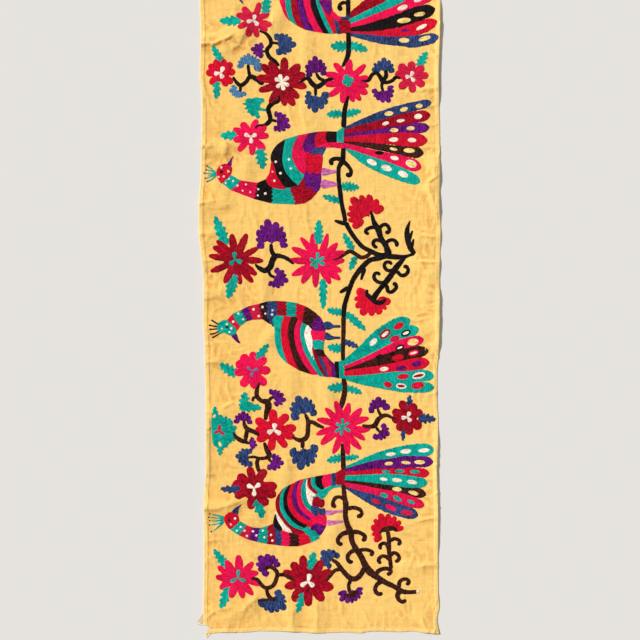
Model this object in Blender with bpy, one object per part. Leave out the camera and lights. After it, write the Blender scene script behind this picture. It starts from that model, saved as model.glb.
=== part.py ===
"""Suzani panel: a long strip of yellow cotton for embroidery, lying face up on a level surface.

The panel is one piece of cloth. It was never pressed flat: it lies on the surface over most of its
area and rises off it in creases, and its long edges wander. The hem is turned up all round, and the
lower left corner is torn. Metres, +Z up, X across the panel, Y along it, with the origin in the
middle of the underside.
"""

import math
from collections import namedtuple

import bmesh
import bpy
from mathutils import Vector

MM = 0.001

# Driving dimensions, in metres
PANEL_WIDTH = 0.512  # between the outermost points of the two long edges
PANEL_LENGTH = 1.600
CLOTH_THICKNESS = 0.0012  # one layer of cotton with its stitches
HEM_THICKNESS = 0.0024  # the turned edge, two layers
HEM_WIDTH = 0.009
HEM_STEP = 0.0015  # how fast the turned edge drops to one layer
CELL = 0.016  # spacing of the net of points that carries the folds

# Two folds that meet blend by this power mean, so that a joint isn't twice as high.
FOLD_BLEND = 3.0
# Neighbouring faces that differ by less than this angle are one flat face.
FLAT_ANGLE = math.radians(0.02)

COTTON_COLOUR = (0.90, 0.56, 0.17, 1.0)
COTTON_ROUGHNESS = 0.92

# How far the long edges lie inside the panel's width, in mm, at heights above the lower end in mm.
EdgeSection = namedtuple("EdgeSection", "up left right")
LONG_EDGES = (
    EdgeSection(0, 15.5, 3.8),
    EdgeSection(30, 9.3, 7.6),
    EdgeSection(58, 9.5, 3.0),
    EdgeSection(92, 10.0, 5.1),
    EdgeSection(150, 11.0, 5.5),
    EdgeSection(283, 11.0, 5.8),
    EdgeSection(346, 15.2, 8.0),
    EdgeSection(400, 15.2, 5.9),
    EdgeSection(448, 15.2, 5.1),
    EdgeSection(499, 15.0, 7.6),
    EdgeSection(549, 14.0, 7.6),
    EdgeSection(600, 13.0, 4.2),
    EdgeSection(664, 9.5, 2.1),
    EdgeSection(727, 11.0, 2.3),
    EdgeSection(778, 8.9, 2.5),
    EdgeSection(803, 4.7, 1.5),
    EdgeSection(854, 0.0, 0.0),
    EdgeSection(905, 0.4, 3.0),
    EdgeSection(981, 4.7, 1.7),
    EdgeSection(1057, 6.8, 2.1),
    EdgeSection(1133, 6.8, 3.8),
    EdgeSection(1184, 2.5, 4.7),
    EdgeSection(1260, 4.7, 1.7),
    EdgeSection(1336, 2.5, 0.6),
    EdgeSection(1468, 3.4, 0.8),
    EdgeSection(1600, 3.0, 1.3),
)

# How far the two ends lie inside the panel's length, in mm, at places across it in mm.
EndSection = namedtuple("EndSection", "across lower upper")
ENDS = (
    EndSection(0, 0.0, 1.6),
    EndSection(36, 2.3, 1.2),
    EndSection(87, 2.8, 0.4),
    EndSection(119, 5.5, 0.0),
    EndSection(172, 4.9, 0.8),
    EndSection(246, 1.3, 2.4),
    EndSection(299, 3.0, 2.9),
    EndSection(337, 1.3, 2.2),
    EndSection(366, 5.1, 1.2),
    EndSection(426, 3.8, 0.3),
    EndSection(455, 5.1, 0.8),
    EndSection(481, 2.1, 1.4),
    EndSection(512, 0.0, 2.0),
)

# Creases that rise off the surface: the two ends of each crest from the panel's middle, the height
# of the crest, and how far it spreads to each side, all in mm.
Fold = namedtuple("Fold", "place start end height spread")
FOLDS = (
    # The upper end
    Fold("end, across", (-42, 795), (-38, 735), 3.5, 22),
    Fold("left of the end", (-203, 689), (-143, 723), 4.0, 22),
    Fold("right of the end", (165, 672), (233, 685), 4.0, 22),
    Fold("left edge, lifted", (-253, 731), (-253, 583), 4.0, 20),
    # Round the top bird and the first row of flowers
    Fold("left, sharp", (-256, 452), (-173, 475), 7.0, 22),
    Fold("left, second", (-209, 437), (-154, 481), 6.0, 22),
    Fold("beside the bird", (-103, 477), (-82, 524), 4.5, 22),
    Fold("below the bird", (-31, 410), (-33, 469), 3.5, 22),
    Fold("below the tail", (153, 405), (151, 448), 3.0, 22),
    Fold("right, below the flower", (208, 348), (256, 355), 4.0, 22),
    Fold("right edge, upper lift", (256, 524), (254, 338), 5.0, 22),
    # Round the second bird
    Fold("middle of the row", (-23, 261), (-27, 321), 3.0, 22),
    Fold("left bump", (-256, 225), (-211, 230), 7.0, 28),
    Fold("left bump, inner end", (-211, 230), (-173, 242), 5.0, 24),
    Fold("inside the neck", (-165, 160), (-154, 198), 3.5, 22),
    Fold("left, stroke", (-215, 118), (-213, 147), 3.0, 20),
    Fold("left, under the crest", (-256, 107), (-205, 111), 5.0, 22),
    Fold("right zigzag, upper", (237, 202), (250, 164), 5.0, 22),
    Fold("right zigzag, middle", (250, 164), (231, 145), 5.0, 22),
    Fold("right zigzag, lower", (231, 145), (250, 92), 5.0, 22),
    # The row of scrolls
    Fold("left, leaf", (-256, 46), (-218, 46), 4.0, 20),
    Fold("left, flower", (-256, -14), (-213, -14), 3.5, 20),
    Fold("left, lower leaf", (-247, -86), (-198, -75), 5.0, 24),
    Fold("above the neck", (-122, -45), (-120, -94), 4.0, 20),
    Fold("right, upper of a pair", (195, 37), (256, 39), 4.0, 20),
    Fold("right, lower of a pair", (191, -22), (256, -20), 4.0, 20),
    Fold("right, slanting", (237, -31), (220, -98), 4.0, 24),
    # Round the third bird
    Fold("right, tail corner", (208, -160), (256, -141), 4.0, 22),
    Fold("right edge, middle lift", (254, -86), (252, -189), 5.0, 22),
    Fold("inside the second neck", (-120, -185), (-91, -153), 4.0, 20),
    Fold("left, flower foot", (-247, -229), (-211, -227), 4.0, 20),
    Fold("belly", (-65, -234), (-61, -280), 3.0, 20),
    Fold("stem", (11, -272), (17, -335), 3.5, 20),
    Fold("left, leaf foot", (-224, -333), (-163, -318), 4.0, 22),
    Fold("left edge, middle lift", (-243, -348), (-241, -454), 3.0, 20),
    Fold("right edge, lower lift", (250, -390), (252, -612), 4.0, 20),
    # Round the lowest bird and the lower end
    Fold("breast", (-82, -500), (-76, -450), 3.0, 20),
    Fold("big fold, outer", (-247, -528), (-194, -530), 8.0, 28),
    Fold("big fold, inner", (-194, -530), (-160, -511), 6.0, 24),
    Fold("inside the third neck", (-156, -557), (-131, -528), 3.0, 20),
    Fold("beside the legs", (34, -560), (19, -623), 3.5, 22),
    Fold("right, tail foot", (165, -562), (233, -566), 3.0, 20),
    Fold("right, scrolls", (174, -657), (229, -655), 3.5, 20),
    Fold("lower left, long", (-194, -767), (-131, -720), 5.0, 22),
    Fold("lower left, short", (-222, -761), (-186, -718), 3.5, 20),
    Fold("lower end, left", (-65, -746), (-59, -799), 4.0, 20),
    Fold("lower end, middle", (-6, -729), (-4, -799), 3.0, 20),
    Fold("lower end, right", (210, -758), (235, -794), 4.5, 20),
)

# The torn corner: the outline of what is missing, in mm from the panel's middle.
TEAR_OUTLINE = (
    (-270, -778),
    (-238, -782),
    (-229, -790),
    (-240, -794),
    (-270, -795),
)
TEAR_DEPTH = 0.02  # the cutter reaches this far above and below the cloth


def clear_scene():
    for obj in list(bpy.data.objects):
        bpy.data.objects.remove(obj)


def eased(sections, key, place, value):
    """The value at a place between two rows of a table, easing in and out, so it never overshoots."""
    for low, high in zip(sections, sections[1:]):
        start = getattr(low, key)
        end = getattr(high, key)
        if place <= end:
            share = min(max((place - start) / (end - start), 0.0), 1.0)
            share = share * share * (3.0 - 2.0 * share)
            return getattr(low, value) * (1.0 - share) + getattr(high, value) * share
    return getattr(sections[-1], value)


def on_outline(flat_x, flat_y):
    """Where a point of the plain rectangle lies once the edges wander."""
    across = (flat_x + PANEL_WIDTH / 2) / MM
    share_up = flat_y / PANEL_LENGTH + 0.5
    lower = -PANEL_LENGTH / 2 + eased(ENDS, "across", across, "lower") * MM
    upper = PANEL_LENGTH / 2 - eased(ENDS, "across", across, "upper") * MM
    y = lower + (upper - lower) * share_up
    up = (y + PANEL_LENGTH / 2) / MM
    share_across = flat_x / PANEL_WIDTH + 0.5
    left = -PANEL_WIDTH / 2 + eased(LONG_EDGES, "up", up, "left") * MM
    right = PANEL_WIDTH / 2 - eased(LONG_EDGES, "up", up, "right") * MM
    return left + (right - left) * share_across, y


def fold_height(fold, point):
    """The height of one fold at a point, in mm: a rounded ridge that fades out round its crest line."""
    start = Vector(fold.start)
    line = Vector(fold.end) - start
    along = min(max((point - start).dot(line) / line.length_squared, 0.0), 1.0)
    away = (point - start - line * along).length / fold.spread
    return fold.height * math.cos(min(away, 1.0) * math.pi / 2) ** 2


def lift(x, y):
    """How far the cloth stands off the surface at a point, in metres. Between folds it is exactly 0."""
    point = Vector((x, y)) / MM
    total = sum(fold_height(fold, point) ** FOLD_BLEND for fold in FOLDS)
    return total ** (1.0 / FOLD_BLEND) * MM


def thickness(flat_x, flat_y):
    """Two layers in the turned hem, and one inside it."""
    from_edge = min(PANEL_WIDTH / 2 - abs(flat_x), PANEL_LENGTH / 2 - abs(flat_y))
    inside_hem = from_edge > HEM_WIDTH + HEM_STEP / 2
    return CLOTH_THICKNESS if inside_hem else HEM_THICKNESS


def cut_hem_lines(bm):
    """Two rows of points where the hem ends, so that its step is sharp."""
    half_sizes = ((Vector((1, 0, 0)), PANEL_WIDTH / 2), (Vector((0, 1, 0)), PANEL_LENGTH / 2))
    for direction, half in half_sizes:
        for inset in (HEM_WIDTH, HEM_WIDTH + HEM_STEP):
            for side in (-1, 1):
                bmesh.ops.bisect_plane(
                    bm,
                    geom=bm.verts[:] + bm.edges[:] + bm.faces[:],
                    plane_co=direction * side * (half - inset),
                    plane_no=direction,
                )


def cloth_mesh():
    """The sheet: a flat net, thickened, then every point moved to its place on the creased cloth."""
    bm = bmesh.new()
    bmesh.ops.create_grid(
        bm,
        x_segments=round(PANEL_WIDTH / CELL),
        y_segments=round(PANEL_LENGTH / CELL),
        size=0.5,
    )
    bmesh.ops.scale(bm, vec=(PANEL_WIDTH, PANEL_LENGTH, 1.0), verts=bm.verts)
    cut_hem_lines(bm)
    raised = bmesh.ops.extrude_face_region(bm, geom=bm.faces[:], use_keep_orig=True)
    upper_side = {item for item in raised["geom"] if isinstance(item, bmesh.types.BMVert)}
    for vert in bm.verts:
        flat_x, flat_y = vert.co.xy
        x, y = on_outline(flat_x, flat_y)
        z = lift(x, y)
        if vert in upper_side:
            z += thickness(flat_x, flat_y)
        vert.co = (x, y, z)
    bmesh.ops.recalc_face_normals(bm, faces=bm.faces)
    bmesh.ops.dissolve_limit(bm, angle_limit=FLAT_ANGLE, verts=bm.verts, edges=bm.edges)
    bmesh.ops.triangulate(bm, faces=bm.faces)
    mesh = bpy.data.meshes.new("panel")
    bm.to_mesh(mesh)
    bm.free()
    return mesh


def tear_cutter():
    """A block in the shape of the missing bit of the corner, left out of the model itself."""
    bm = bmesh.new()
    rim = [bm.verts.new((x * MM, y * MM, -TEAR_DEPTH)) for x, y in TEAR_OUTLINE]
    face = bm.faces.new(rim)
    raised = bmesh.ops.extrude_face_region(bm, geom=[face], use_keep_orig=True)
    top = [item for item in raised["geom"] if isinstance(item, bmesh.types.BMVert)]
    bmesh.ops.translate(bm, verts=top, vec=(0, 0, 2 * TEAR_DEPTH))
    bmesh.ops.recalc_face_normals(bm, faces=bm.faces)
    mesh = bpy.data.meshes.new("tear_cutter")
    bm.to_mesh(mesh)
    bm.free()
    cutter = bpy.data.objects.new("tear_cutter", mesh)
    cutter.hide_render = True
    cutter.display_type = "WIRE"
    bpy.context.scene.collection.objects.link(cutter)
    return cutter


def cotton():
    material = bpy.data.materials.new("yellow_cotton")
    material.use_nodes = True
    shader = material.node_tree.nodes["Principled BSDF"]
    shader.inputs["Base Color"].default_value = COTTON_COLOUR
    shader.inputs["Roughness"].default_value = COTTON_ROUGHNESS
    shader.inputs["Metallic"].default_value = 0.0
    return material


def build():
    clear_scene()
    mesh = cloth_mesh()
    mesh.materials.append(cotton())
    panel = bpy.data.objects.new("panel", mesh)
    bpy.context.scene.collection.objects.link(panel)
    tear = panel.modifiers.new("torn corner", "BOOLEAN")
    tear.operation = "DIFFERENCE"
    tear.object = tear_cutter()


build()
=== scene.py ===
# %% [markdown]
# # A suzani panel
# A long strip of yellow cotton, embroidered in silk with birds lying on their sides, round flowers, small
# fan blossoms, leaves and a scrolling stem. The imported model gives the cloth's true shape and size. This
# lesson lays a fine sheet of cotton on that shape, works every motif on it as raised silk, and finishes
# both with node materials. The pattern is a traditional one. Its layout is set out in tables, in
# millimetres from the panel's middle. Their places were read by eye off enlarged views of the photograph
# with a grid over them, turned into millimetres by a helper script, and corrected against it. Petals,
# leaves, fans and stitches are made by formulas. Stems, feathers, bands and patches follow listed points.

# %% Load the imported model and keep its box
import math
import random
from collections import namedtuple

import bmesh
import bpy
import numpy as np
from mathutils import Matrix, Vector
from mathutils.bvhtree import BVHTree
from mathutils.noise import noise


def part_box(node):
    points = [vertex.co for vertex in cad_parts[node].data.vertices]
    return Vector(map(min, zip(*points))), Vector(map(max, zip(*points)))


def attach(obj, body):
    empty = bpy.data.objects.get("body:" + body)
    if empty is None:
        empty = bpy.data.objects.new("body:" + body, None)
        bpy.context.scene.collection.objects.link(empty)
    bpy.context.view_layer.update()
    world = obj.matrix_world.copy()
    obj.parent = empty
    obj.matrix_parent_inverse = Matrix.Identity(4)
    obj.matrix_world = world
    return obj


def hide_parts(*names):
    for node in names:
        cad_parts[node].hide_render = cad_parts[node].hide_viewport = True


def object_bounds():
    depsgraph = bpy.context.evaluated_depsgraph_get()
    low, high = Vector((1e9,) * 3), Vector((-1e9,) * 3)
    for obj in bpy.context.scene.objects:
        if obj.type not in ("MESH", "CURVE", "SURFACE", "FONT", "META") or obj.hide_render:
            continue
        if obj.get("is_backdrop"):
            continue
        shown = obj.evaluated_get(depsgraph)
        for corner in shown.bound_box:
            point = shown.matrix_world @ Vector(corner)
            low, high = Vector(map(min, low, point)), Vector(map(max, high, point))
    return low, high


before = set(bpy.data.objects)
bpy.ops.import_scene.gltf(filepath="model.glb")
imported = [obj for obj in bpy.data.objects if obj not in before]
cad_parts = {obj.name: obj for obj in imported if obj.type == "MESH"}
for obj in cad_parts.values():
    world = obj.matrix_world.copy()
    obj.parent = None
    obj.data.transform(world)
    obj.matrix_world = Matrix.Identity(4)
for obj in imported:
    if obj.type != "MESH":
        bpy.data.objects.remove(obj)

MM = 0.001
LIGHT_RUNS = Vector((0.82, -0.48, -0.72))  # the way the key light travels: down, to the lower right

cad_box = [list(corner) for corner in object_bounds()]
panel_low, panel_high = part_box("panel")
print("panel, mm:", [round(side / MM, 1) for side in panel_high - panel_low])

# %% [markdown]
# ## Tables
# A pattern drafter keeps a list of motifs: where each one sits, how big it is and which way it points. The
# tables here are the same. A small reader turns each line into a row with named columns. Where a line ends
# in points, they are the knots of a curve: x, y and, for a stroke, its width. All are in millimetres, and
# turns are in degrees.

# %% Read tables with named columns
def cell(text):
    if "," in text:
        return tuple(float(part) for part in text.split(","))
    try:
        return float(text)
    except ValueError:
        return text


def rows(columns, text):
    """One namedtuple a line. The last column, if it's called knots, takes all that is left of the line. A
    line that starts with > holds the first cell of every line after it."""
    Row = namedtuple("Row", columns)
    plain = len(Row._fields) - (Row._fields[-1] == "knots")
    table, first = [], []
    for line in text.strip().splitlines():
        cells = [cell(part) for part in line.split()]
        if cells[0] == ">":
            first = cells[1:]
        else:
            cells = first + cells
            table.append(Row(*cells[:plain], cells[plain:]) if plain < len(Row._fields) else Row(*cells))
    return table


# %% [markdown]
# ## The cloth's outline
# The long edges of hand-woven cloth wander, and its ends are never quite square. These two tables give how
# far each edge lies inside the panel's full width and length, as the solid has it. Where the photograph
# shows the edge, its place comes from a list, printed by a helper script, of where the yellow stops.

# %% Outline of the cloth
PANEL_WIDTH = 512.0
PANEL_LENGTH = 1600.0

LONG_EDGES = rows("up left right", """
0 15.5 3.8
30 9.3 7.6
58 9.5 3
92 10 5.1
150 11 5.5
283 11 5.8
346 15.2 8
400 15.2 5.9
448 15.2 5.1
499 15 7.6
549 14 7.6
600 13 4.2
664 9.5 2.1
727 11 2.3
778 8.9 2.5
803 4.7 1.5
854 0 0
905 0.4 3
981 4.7 1.7
1057 6.8 2.1
1133 6.8 3.8
1184 2.5 4.7
1260 4.7 1.7
1336 2.5 0.6
1468 3.4 0.8
1600 3 1.3
""")

ENDS = rows("across lower upper", """
0 0 1.6
36 2.3 1.2
87 2.8 0.4
119 5.5 0
172 4.9 0.8
246 1.3 2.4
299 3 2.9
337 1.3 2.2
366 5.1 1.2
426 3.8 0.3
455 5.1 0.8
481 2.1 1.4
512 0 2
""")


def eased(table, key, place, value):
    """Values between two rows of a table, easing in and out, at many places at once."""
    keys = np.array([getattr(row, key) for row in table])
    values = np.array([getattr(row, value) for row in table])
    low = np.clip(np.searchsorted(keys, place) - 1, 0, len(keys) - 2)
    share = np.clip((place - keys[low]) / (keys[low + 1] - keys[low]), 0.0, 1.0)
    share = share * share * (3.0 - 2.0 * share)
    return values[low] * (1.0 - share) + values[low + 1] * share


def on_outline(flat_x, flat_y):
    """Where points of the plain rectangle lie once the edges wander, in mm."""
    across = flat_x + PANEL_WIDTH / 2
    lower = -PANEL_LENGTH / 2 + eased(ENDS, "across", across, "lower")
    upper = PANEL_LENGTH / 2 - eased(ENDS, "across", across, "upper")
    y = lower + (upper - lower) * (flat_y / PANEL_LENGTH + 0.5)
    up = y + PANEL_LENGTH / 2
    left = -PANEL_WIDTH / 2 + eased(LONG_EDGES, "up", up, "left")
    right = PANEL_WIDTH / 2 - eased(LONG_EDGES, "up", up, "right")
    return left + (right - left) * (flat_x / PANEL_WIDTH + 0.5), y


# %% [markdown]
# ## One net for the cloth and its turned edge
# A hem is the cloth's own edge, turned under and sewn down. So one net of points makes both: its outermost
# rows run up from under the hem, round the fold and onto the face. The rows are close together where the
# hem bends and about 3 mm apart elsewhere, which is fine enough for a crease. Each place in the net has a
# flat position and a layer: 0 on the face, 1 on the fold, 2 and 3 underneath.

# %% Places of the net's rows
NET_SPACING = 3.12
HEM_WIDTH = 9.0
EDGE_ROWS = ((8.6, 3), (0.7, 2), (0.0, 1), (0.5, 0), (1.3, 0), (2.8, 0), (4.8, 0), (6.8, 0),
             (8.0, 0), (8.8, 0), (9.6, 0), (11.0, 0))


def net_places(length):
    """Flat positions from one edge to the other, and the layer of each."""
    inner = EDGE_ROWS[-1][0]
    count = round((length - 2 * inner) / NET_SPACING)
    step = (length - 2 * inner) / count
    places = [(-length / 2 + inset, layer) for inset, layer in EDGE_ROWS]
    places += [(-length / 2 + inner + step * number, 0) for number in range(1, count)]
    places += [(length / 2 - inset, layer) for inset, layer in reversed(EDGE_ROWS)]
    return np.array([place for place, _ in places]), np.array([layer for _, layer in places])


columns_at, column_layer = net_places(PANEL_WIDTH)
rows_at, row_layer = net_places(PANEL_LENGTH)
flat_x, flat_y = np.meshgrid(columns_at, rows_at)
layer = np.maximum(*np.meshgrid(column_layer, row_layer))
cloth_x, cloth_y = on_outline(flat_x, flat_y)
print("net:", len(columns_at), "by", len(rows_at), "points")

# %% [markdown]
# ## The cloth's height
# The solid knows where the cloth lies flat and where a fold lifts it. A ray from below meets its underside
# at each point of the net. The solid is coarse, so its facets are softened by averaging neighbours.

# %% Read the folds from the solid
panel_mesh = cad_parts["panel"].data
panel_tree = BVHTree.FromPolygons(
    [vert.co for vert in panel_mesh.vertices],
    [tuple(face.vertices) for face in panel_mesh.polygons],
)


def underside(x, y):
    """Height of the solid's underside, in mm."""
    spot = Vector((x * MM, y * MM, -0.05))
    hit, _, _, _ = panel_tree.ray_cast(spot, Vector((0, 0, 1)))
    return 0.0 if hit is None else max(hit.z / MM, 0.0)


def over_net(height_at):
    """A function of x and y at every point of the net."""
    return np.vectorize(height_at, otypes=[float])(cloth_x, cloth_y)


def softened(field, passes):
    for _ in range(passes):
        padded = np.pad(field, 1, mode="edge")
        field = (
            2 * field + padded[:-2, 1:-1] + padded[2:, 1:-1] + padded[1:-1, :-2] + padded[1:-1, 2:]
        ) / 6
    return field


lift = softened(over_net(underside), 10)
print("highest fold, mm:", round(float(lift.max()), 1))

# %% [markdown]
# ## Fine creases
# Between its main folds the cotton is crumpled: sharp little ridges, and shallow troughs where the dense
# stitching draws it in. Each row is one crease, with its own ends, height and spread, and a slow wave
# keeps its line from being ruled. A height below zero is a trough. A ridge leans: it rises gently on the
# side that faces the key light and drops steeply on the other, as a pressed fold does when it half opens.
# Along the steep side, away from the light, each ridge also gives a line of painted shade for the cloth's
# colour.

# %% Table of creases
CREASES = rows("x1 y1 x2 y2 height spread", """
-256 442 -230 446 5 6
-230 446 -207 454 5.5 6
-207 454 -184 465 3.9 6
-156 473 -163 460 1.8 8
-95 507 -107 473 1 7
-122 481 -101 524 -0.6 8
-246 335 -247 310 1.1 4
-163 -754 -131 -723 1.5 8
-163 460 -171 447 2 9
-171 447 -186 434 2.4 8
-256 227 -243 231 3.9 7
-243 231 -226 232 3.1 8
-203 240 -192 228 1.7 9
-192 232 -198 211 2.1 9
-220 219 -198 209 1.6 8
-241 245 -241 232 1.7 5
-247 196 -228 200 1.8 6
-241 223 -243 206 1.1 5
-232 134 -228 118 1.3 6
-258 107 -241 110 2.9 5
-241 110 -218 114 1.8 6
-247 143 -243 126 1.1 5
-224 101 -186 105 1.3 7
-256 46 -241 45 2.4 5
-241 45 -220 41 1.8 6
-258 -14 -220 -12 1.8 6
-256 -73 -228 -79 2.1 6
-243 -56 -220 -59 1.6 6
-241 -43 -241 -69 0.8 5
-256 -90 -215 -88 1.8 6
-247 -229 -209 -225 1.8 6
-228 -234 -203 -246 -1.6 9
-245 -185 -224 -189 1.1 5
-245 -331 -220 -329 1.6 6
-207 -325 -177 -310 1.8 6
-247 -369 -226 -365 1.3 5
-247 -466 -215 -462 1.6 6
-247 -536 -201 -532 2.4 7
-201 -532 -169 -517 1.8 6
-247 -604 -203 -604 1.8 6
-243 -644 -224 -636 1.3 5
-239 -767 -220 -754 2.4 6
-220 -754 -186 -742 1.8 6
-169 -729 -135 -754 0.9 6
-137 -454 -122 -479 0.6 5
-59 -742 -55 -792 1 6
-4 -729 -8 -797 1.4 6
45 -729 49 -765 1 5
49 -765 68 -794 0.9 5
216 -765 231 -794 1.9 6
165 -737 195 -767 0.8 6
178 344 212 348 1.1 7
212 348 250 352 2.4 6
220 312 248 315 1.6 5
225 276 250 278 1.6 5
212 230 246 225 1.3 5
248 96 240 111 1.5 6
240 111 235 130 1.9 7
237 128 229 154 1.9 6
229 154 248 168 2.9 6
246 168 244 189 1.9 6
233 185 227 168 1.3 6
242 96 250 71 1.1 6
193 50 212 43 1.1 6
212 43 250 38 2.4 6
212 56 233 52 1.3 6
208 -17 250 -13 2.4 6
216 -39 237 -45 1.1 6
220 -60 248 -77 1.6 6
193 -136 242 -132 1.3 5
233 -297 250 -291 1.6 6
187 -471 250 -475 1.6 6
204 -562 250 -557 2.1 6
208 -655 250 -659 1.8 6
165 -619 204 -629 0.9 6
-33 139 -21 33 1 6
-21 118 5 92 0.8 5
-72 107 -59 33 0.8 6
-42 -64 -50 -98 0.9 6
-17 -60 5 -94 0.9 5
22 -60 17 -103 0.8 5
-154 -73 -122 -94 0.9 6
-143 101 -131 58 0.8 6
-158 107 -173 58 0.6 6
22 65 13 41 0.6 5
165 134 220 109 0.9 6
149 126 161 88 0.6 5
153 -94 174 -128 0.8 6
170 -280 204 -297 0.9 6
89 -276 110 -310 0.8 6
119 -390 153 -403 0.8 6
-23 -280 -8 -314 0.8 6
-198 -272 -186 -310 1.1 6
-207 -437 -169 -450 1.3 6
-74 -424 -63 -466 0.8 6
-42 -619 -29 -644 0.8 6
-88 -619 -76 -636 0.6 5
-156 -627 -135 -644 0.9 6
-163 -593 -122 -621 -0.8 8
-186 223 -156 202 1.3 6
-228 287 -207 270 1.3 6
-42 321 -25 270 0.9 6
-67 329 -55 270 0.8 6
13 329 26 308 0.6 5
98 333 115 308 0.6 5
165 350 187 329 0.8 6
-160 456 -143 435 0.6 5
-38 443 5 426 0.9 6
-38 414 -17 397 0.8 5
127 439 161 418 0.9 6
229 439 248 414 1.3 6
-243 498 -224 477 1.1 6
-230 329 -203 304 1.3 6
180 -716 170 -754 0.6 5
-105 -754 -80 -792 0.8 6
-203 -784 -177 -801 1.6 5
89 -746 110 -792 0.8 6
136 -746 140 -792 0.6 5
-211 625 -177 651 1.6 6
-42 647 -29 604 0.8 6
127 634 153 604 0.8 6
-148 774 -122 752 0.9 6
51 778 68 744 0.8 6
191 752 225 735 1.6 6
-228 672 -241 731 1.3 6
""")


GENTLE_SIDE = 1.7  # how far a ridge reaches on each side, as a share of its spread
STEEP_SIDE = 0.62
SHADE_LINE_AWAY = 1.6  # the middle of the painted shade line beside a ridge's unlit, steep side, and the line's half width, in mm
SHADE_LINE_WIDTH = 2.6


def crease_height(crease, x, y):
    """Height of one crease, as a ridge that fades out round its line, and the strength of the painted shade
    line beside its steep side, away from the key light.
    """
    wave = 1.6 * np.sin((x * 1.3 + y) / 19.0 + crease.x1) + 0.9 * np.sin((y - x) / 7.3 + crease.y1)
    across_x, across_y = crease.y2 - crease.y1, crease.x1 - crease.x2
    length = math.hypot(across_x, across_y)
    if across_x * LIGHT_RUNS.x + across_y * LIGHT_RUNS.y < 0:
        across_x, across_y = -across_x, -across_y
    x = x + wave * across_x / length
    y = y + wave * across_y / length
    along_x, along_y = crease.x2 - crease.x1, crease.y2 - crease.y1
    share = ((x - crease.x1) * along_x + (y - crease.y1) * along_y) / length**2
    share = np.clip(share, 0.0, 1.0)
    away_x, away_y = x - crease.x1 - share * along_x, y - crease.y1 - share * along_y
    away = np.hypot(away_x, away_y)
    steep = (away_x * across_x + away_y * across_y) > 0
    spread = crease.spread * np.where(steep, STEEP_SIDE, GENTLE_SIDE)
    ends = np.clip(np.sin(share * math.pi) * 1.6, 0.25, 1.0)
    ridge = crease.height * (1.0 - np.clip(away / spread, 0.0, 1.0)) ** 1.4 * ends
    # painted shade: a dark line along the ridge's steep side, the side turned away from the key light
    line = np.clip(1.0 - abs(away - SHADE_LINE_AWAY) / SHADE_LINE_WIDTH, 0.0, 1.0)
    line = line * ends * steep * abs(crease.height)
    return ridge, line


def cloud_at(x, y, layer):
    """Smooth unevenness from about -1 to 1. Each layer of it is a different one."""
    return noise(Vector((x, y, layer)))


def crinkle(x, y):
    """Sharp little folds, long in one direction here and in another there, with calm places between."""
    bias = cloud_at(x / 90.0, y / 120.0, 9.0)
    stretch_x, stretch_y = (38.0, 15.0) if bias > 0 else (15.0, 38.0)
    ridge = 1.0 - 2.2 * abs(cloud_at(x / stretch_x, y / stretch_y, 2.0 + (bias > 0)))
    mask = min(max(cloud_at(x / 47.0, y / 60.0, 6.0) * 1.8 + 0.45, 0.0), 1.0)
    edge = 0.5 + 1.3 * (2 * abs(x) / PANEL_WIDTH) ** 1.5
    return max(ridge, 0.0) ** 3 * mask * min(abs(bias) * 7.0, 1.0) * edge


# %% Add the creases, small waves and the hem's step
FACE = 0.95  # the face of the cloth above the solid's underside, in mm
HEM_STEP = 0.75
FOLD_HEIGHT = 0.75
UNDER_HEIGHT = 0.12

creased = np.zeros_like(lift)
# painted shade for the cloth's colour: the lines beside the creases' unlit sides and the hollows, with the
# hem's seam line
painted_shade_and_seam = np.zeros_like(lift)
for crease in CREASES:
    ridge, line = crease_height(crease, cloth_x, cloth_y)
    creased += ridge
    painted_shade_and_seam = np.maximum(painted_shade_and_seam, line)
waves = over_net(
    lambda x, y: 0.35 * cloud_at(x / 34.0, y / 46.0, 0.0) + 0.2 * cloud_at(x / 11.0, y / 13.0, 4.0)
)
crinkles = over_net(crinkle)

from_edge = np.minimum(PANEL_WIDTH / 2 - abs(flat_x), PANEL_LENGTH / 2 - abs(flat_y))
hem = np.clip((HEM_WIDTH + 0.8 - from_edge) / 1.8, 0.0, 1.0)
hem = hem * hem * (3.0 - 2.0 * hem)
rounding = np.clip(1.0 - from_edge / 1.8, 0.0, 1.0) ** 2
broken = over_net(lambda x, y: cloud_at(x / 21.0, y / 21.0, 12.0))
# a darker line along the hem's seam, broken here and there, joins the painted shade mask
seam = np.clip(1.0 - abs(from_edge - HEM_WIDTH - 0.3) / 1.5, 0.0, 1.0)
seam = seam * np.clip(broken * 3.0 + 0.9, 0.15, 2.2)
painted_shade_and_seam = np.maximum(painted_shade_and_seam, seam)
face_height = lift + FACE + np.clip(creased + waves + crinkles, -0.6, 4.0)
face_height += HEM_STEP * hem - 0.5 * rounding
# in a hollow, light bounces from wall to wall of the yellow cloth and comes out deeper and warmer
hollows = np.clip((softened(face_height, 12) - face_height) * 4.0 - 0.05, 0.0, 2.1)
painted_shade_and_seam = np.maximum(painted_shade_and_seam, hollows)
heights = np.select([layer == 0, layer == 1], [face_height, lift + FOLD_HEIGHT], lift + UNDER_HEIGHT)
print("creases:", len(CREASES), "- face from", round(float(face_height.min()), 2), "to",
      round(float(face_height.max()), 2), "mm")

# %% [markdown]
# ## Weave the sheet
# Blender's grid operator makes the net, and its points are then moved to their places. The lower left
# corner is torn on the real panel. Planes cut the net along the tear's outline, and what lies inside the
# outline is deleted, which leaves a clean ragged edge at any spacing of the net.

# %% Make the sheet and tear its corner
TEAR = ((-270, -778), (-238, -782), (-229, -790), (-240, -794), (-270, -795))


def inside_tear(x, y):
    """Whether a point lies inside the tear's outline, by counting the sides that it is left of."""
    inside = False
    for (x1, y1), (x2, y2) in zip(TEAR, TEAR[1:] + TEAR[:1]):
        if (y1 > y) != (y2 > y) and x < x1 + (x2 - x1) * (y - y1) / (y2 - y1):
            inside = not inside
    return inside


TEAR_REACH = (-0.222, -0.770)  # in metres: only the corner's faces below and left of this are cut


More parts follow.
